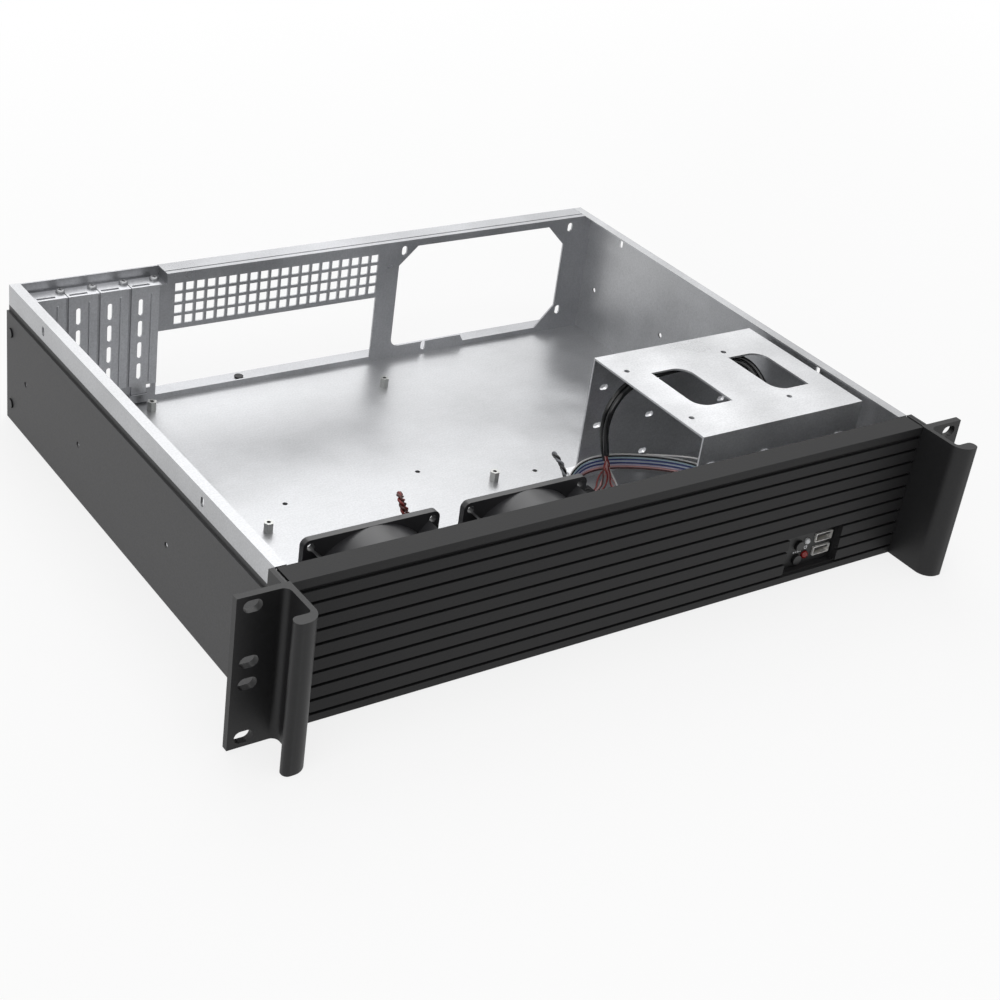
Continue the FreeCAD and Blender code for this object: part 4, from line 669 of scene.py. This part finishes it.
def fan_leads(pairs):
    """Each fan's two leads, twisted about each other in an arch down to their plug.

    The first points and the last are the same for both fans; the rises between them differ."""
    pitch, radius = 8 * MM, 0.72 * MM
    rises = (
        [(27, 4.6, -9), (24, 4.8, -5), (22.3, 5, 0), (21.8, 7.5, 4.2), (23, 11, 5), (26.5, 15, 2.5),
         (30.5, 18.8, -3), (35, 21, -11), (39, 21, -19), (41.5, 20.5, -28), (42.5, 19, -41),
         (43, 18, -61)],
        [(30.5, 4.2, -8), (31.8, 5, -3.5), (31, 8, 2), (29.5, 12, 5.3), (29.8, 15.5, 5.8), (33.5, 18.5, 2),
         (38.5, 22, -2.5), (43.5, 23, -9), (47, 22, -17), (47.5, 20.5, -28), (46.5, 19, -41),
         (45.5, 17.8, -61)])
    for number, (rise, colours) in enumerate(zip(rises, pairs), start=1):
        low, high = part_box("fan_%d_frame" % number)
        x, back, top = (low.x + high.x) / 2 / MM, (high.y - FACE_Y) / MM, high.z / MM
        points = [(29, 0, -11), (29, 3.2, -11), *rise, (45.5, 17.2, 13 - top), (48.6, 17, 6.6 - top),
                  (54, 17, 3.8 - top), (61, 17, 3.8 - top)]
        points = [(x + across, back + away, top + up) for across, away, up in points]
        line = smooth_route(points)
        length = travelled(line)[-1]
        strands = []
        for side, colour in zip((0, math.pi), colours):

            def twist(share, side=side):
                angle = side + share * length / pitch * 2 * math.pi
                return math.cos(angle) * radius, math.sin(angle) * radius

            strands.append((beside(line, twist), radius, colour))
        piece = strand_piece("fan_%d_leads" % number, strands, 8)
        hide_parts("fan_%d_lead" % number)


# ------------------------------------------------------------------ studio

def studio_floor():
    """A white floor that glows towards the lens, with painted shade under the case.

    The painted shade is a dark colour within the case's footprint, so the floor's holes show dark as if in
    shadow. A value of 1 is the edge of the footprint, and it grows outwards."""
    white = bpy.data.materials.new("studio_floor")
    white.use_nodes = True
    tree = white.node_tree
    shader = tree.nodes["Principled BSDF"]
    shader.inputs["Roughness"].default_value = 0.9
    spot = add(tree, "SeparateXYZ", {"Vector": add(tree, "TexCoord").outputs["Object"]})
    across = maths(tree, "ABSOLUTE", spot.outputs["X"])
    along = maths(tree, "ABSOLUTE", spot.outputs["Y"])
    half_wide, half_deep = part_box("chassis_tray")[1].x, -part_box("front_bulkhead")[0].y
    reach = maths(tree, "MAXIMUM", maths(tree, "DIVIDE", across, half_wide),
                  maths(tree, "DIVIDE", along, half_deep))
    # Painted shade: inside the case's footprint, where clear is 0, the floor is coloured #202020 and does
    # not glow. This stands in for the shade under the case.
    clear = remap(tree, reach, 0.0, 1.0, (0.96, 1.0))
    tone = add(tree, "MixRGB", {"Fac": clear}, {"Color1": linear("#202020"), "Color2": linear("#fbfbfb")})
    tree.links.new(tone.outputs[0], shader.inputs["Base Color"])
    path = add(tree, "LightPath").outputs
    seen = maths(tree, "MAXIMUM", path["Is Camera Ray"], path["Is Glossy Ray"])
    share = maths(tree, "MULTIPLY", maths(tree, "MULTIPLY", seen, clear),
                  remap(tree, reach, 0.8, 1.0, (1.0, 6.0)))
    glow = add(tree, "Emission", (), {"Color": (1, 1, 1, 1), "Strength": 1.0})
    mixed = add(tree, "MixShader", {0: share, 1: shader.outputs[0], 2: glow.outputs[0]})
    tree.links.new(mixed.outputs[0], tree.nodes["Material Output"].inputs["Surface"])
    bpy.ops.mesh.primitive_plane_add(size=8, location=(0, 0, -0.4 * MM))
    floor = bpy.context.active_object
    floor.name = "studio_floor"
    floor.data.materials.append(white)


def studio_world(ambient=0.3):
    """A surround that is white to the lens and in mirrors, and lights the rest only faintly."""
    world = bpy.data.worlds.new("studio")
    bpy.context.scene.world = world
    world.use_nodes = True
    tree = world.node_tree
    back = tree.nodes["Background"]
    path = add(tree, "LightPath").outputs
    shown = maths(tree, "MAXIMUM", path["Is Camera Ray"], path["Is Transmission Ray"])
    seen = maths(tree, "MAXIMUM", shown, path["Is Glossy Ray"])
    back.inputs["Color"].default_value = (1, 1, 1, 1)
    tree.links.new(remap(tree, seen, ambient, 1.0, WHOLE), back.inputs["Strength"])


def studio_lamps():
    """Three soft lamps that look at the case: above it, behind it and to its left."""
    for name, place, size, power in (("top", (0.0, -0.1, 1.8), 1.6, 12),
                                     ("back", (0.65, 1.7, 1.8), 1.6, 15),
                                     ("left", (-1.6, -0.8, 0.9), 1.2, 7)):
        lamp = bpy.data.lights.new(name, "AREA")
        lamp.energy = power
        lamp.size = size
        thing = bpy.data.objects.new(name, lamp)
        thing.location = place
        thing.rotation_euler = (-Vector(place)).to_track_quat("-Z", "Y").to_euler()
        bpy.context.collection.objects.link(thing)


def studio_camera():
    """The lens before the case's left front corner, a little above it."""
    lens = bpy.data.cameras.new("camera")
    lens.lens = 66.5
    lens.sensor_width = 36
    camera = bpy.data.objects.new("camera", lens)
    camera.location = Vector((-589.0, -773.4, 566.2)) * MM
    heading, fall, roll = math.radians(38.63), math.radians(30.18), math.radians(8.63)
    look = Vector((math.sin(heading) * math.cos(fall), math.cos(heading) * math.cos(fall),
                   -math.sin(fall)))
    turn = look.to_track_quat("-Z", "Y").to_matrix() @ Matrix.Rotation(roll, 3, "Z")
    camera.rotation_euler = turn.to_euler()
    bpy.context.collection.objects.link(camera)
    bpy.context.scene.camera = camera
    bpy.context.scene.view_settings.view_transform = "Standard"


# ------------------------------------------------------------------ assembly

# Copies of one zinc finish, with a tone set for each part. The cage's light copy is painted light. The
# darker copy on the rear panel and bulkhead is painted shade. Each stands in for how brightly that part is
# lit.
zinc = zinc_plated_steel("shaded_zinc_copy_sheet", "#b4b5b8")
lit_zinc_for_cage = zinc_plated_steel("lit_zinc_copy_for_cage_sheet", "#e0e1e3", ALONG_X)
zinc_cover = zinc_plated_steel("zinc_cover_sheet", "#cccdd0")
black_screw = plated_metal("black_oxide_steel", "#2c2c2e", 0.35)
bright_screw = plated_metal("zinc_plated_screw", "#b4b5b3", 0.3)
grey_screw = plated_metal("passivated_screw", "#8f9092", 0.34)
fascia_coat = powder_coat("textured_black_powder_coat", "#131314", 0.62, 0.9, 0.35)
handle_coat = powder_coat("satin_black_coat", "#1c1c1d", 0.45, 1.4, 0.12, 0.04)
fan_black = moulded_plastic("black_fan_plastic", "#2c2c2e", 0.34)
plug_black = moulded_plastic("black_nylon", "#161617", 0.45)
housing_black = moulded_plastic("black_housing_plastic", "#151516", 0.5)
button_black = moulded_plastic("black_button_plastic", "#1d1d1e", 0.35)
shell_metal = plated_metal("tin_plated_shell", "#f0efec", 0.45, metallic=0.5)
lamp_white = moulded_plastic("milky_lamp_resin", "#e6e8ea", 0.2, 0.6, 0.02)
lamp_red = moulded_plastic("red_lamp_resin", "#8c1614", 0.18, 0.6, 0.02)
board_green = moulded_plastic("green_solder_mask", "#1c4a2c", 0.35)
winding = plated_metal("enamelled_copper", "#8c4a22", 0.35)
gold = plated_metal("gold_plated_contact", "#c9a24a", 0.25)
ink = moulded_plastic("white_printed_ink", "#dcdde0", 0.6, 0.5, 0.02)
sheath = moulded_plastic("black_cable_sheath", "#161617", 0.2, 0.7, 0.03)

dress(tray_finish(), "chassis_tray")
# Painted shade: the rear panel and bulkhead take the darker zinc copy.
dress(zinc, "rear_panel", "front_bulkhead")
# Painted light: the cage takes the lighter zinc copy.
dress(lit_zinc_for_cage, "drive_cage")
dress(zinc_cover, "slot_cover_1", "slot_cover_2", "slot_cover_3", "slot_cover_4")
dress(black_screw, "panel_rivets")
dress(bright_screw, "fan_screws", "fascia_screws", "socket_screws", "board_standoffs")
dress(fascia_coat, "fascia")
dress(handle_coat, "handle_left", "handle_right")
dress(fan_black, "fan_1_frame", "fan_2_frame", "fan_1_impeller", "fan_2_impeller")
dress(winding, "fan_1_stator", "fan_2_stator")
dress(housing_black, "socket_housing", "button_switches", "socket_headers")
dress(shell_metal, "usb_lower_shell", "usb_upper_shell")
dress(plug_black, "usb_lower_tongue", "usb_upper_tongue")
dress(lamp_white, "power_led")
dress(lamp_red, "drive_led")
dress(button_black, "power_button", "reset_button")
dress(board_green, "socket_board")

upright_screws("slot_cover_screws", "cover_screws", grey_screw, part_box("slot_cover_1")[1].z)
upright_screws("cage_screws", "cage_foot_screws", bright_screw)
handle_screws(black_screw)
plugs(plug_black)
lead_colours = {"white": "#e4e4e2", "black": "#1c1c1e", "teal": "#b3cbd6", "blue": "#36447c",
                "slate": "#bcc6d8", "grey": "#77797e", "mauve": "#c3b8cc", "pink": "#cc9c9c",
                "brown": "#4a221e", "red": "#7c2a26"}
lead = {name: moulded_plastic("lead_" + name, code, 0.4, 0.6, 0.03) for name, code in lead_colours.items()}
usb_cables(sheath, {"a": [lead[name] for name in ("red", "brown", "pink", "red")],
                    "b": [lead[name] for name in ("pink", "white", "pink", "red")]})
ribbon([lead[name] for name in ("white", "black", "teal", "blue", "slate", "blue", "mauve", "pink",
                                "brown")])
stray_lead(lead["white"])
fan_leads([(lead["red"], lead["brown"]), (lead["grey"], lead["black"])])
usb_contacts(gold)
panel_marks(ink)
studio_floor()
studio_world()
studio_lamps()
studio_camera()
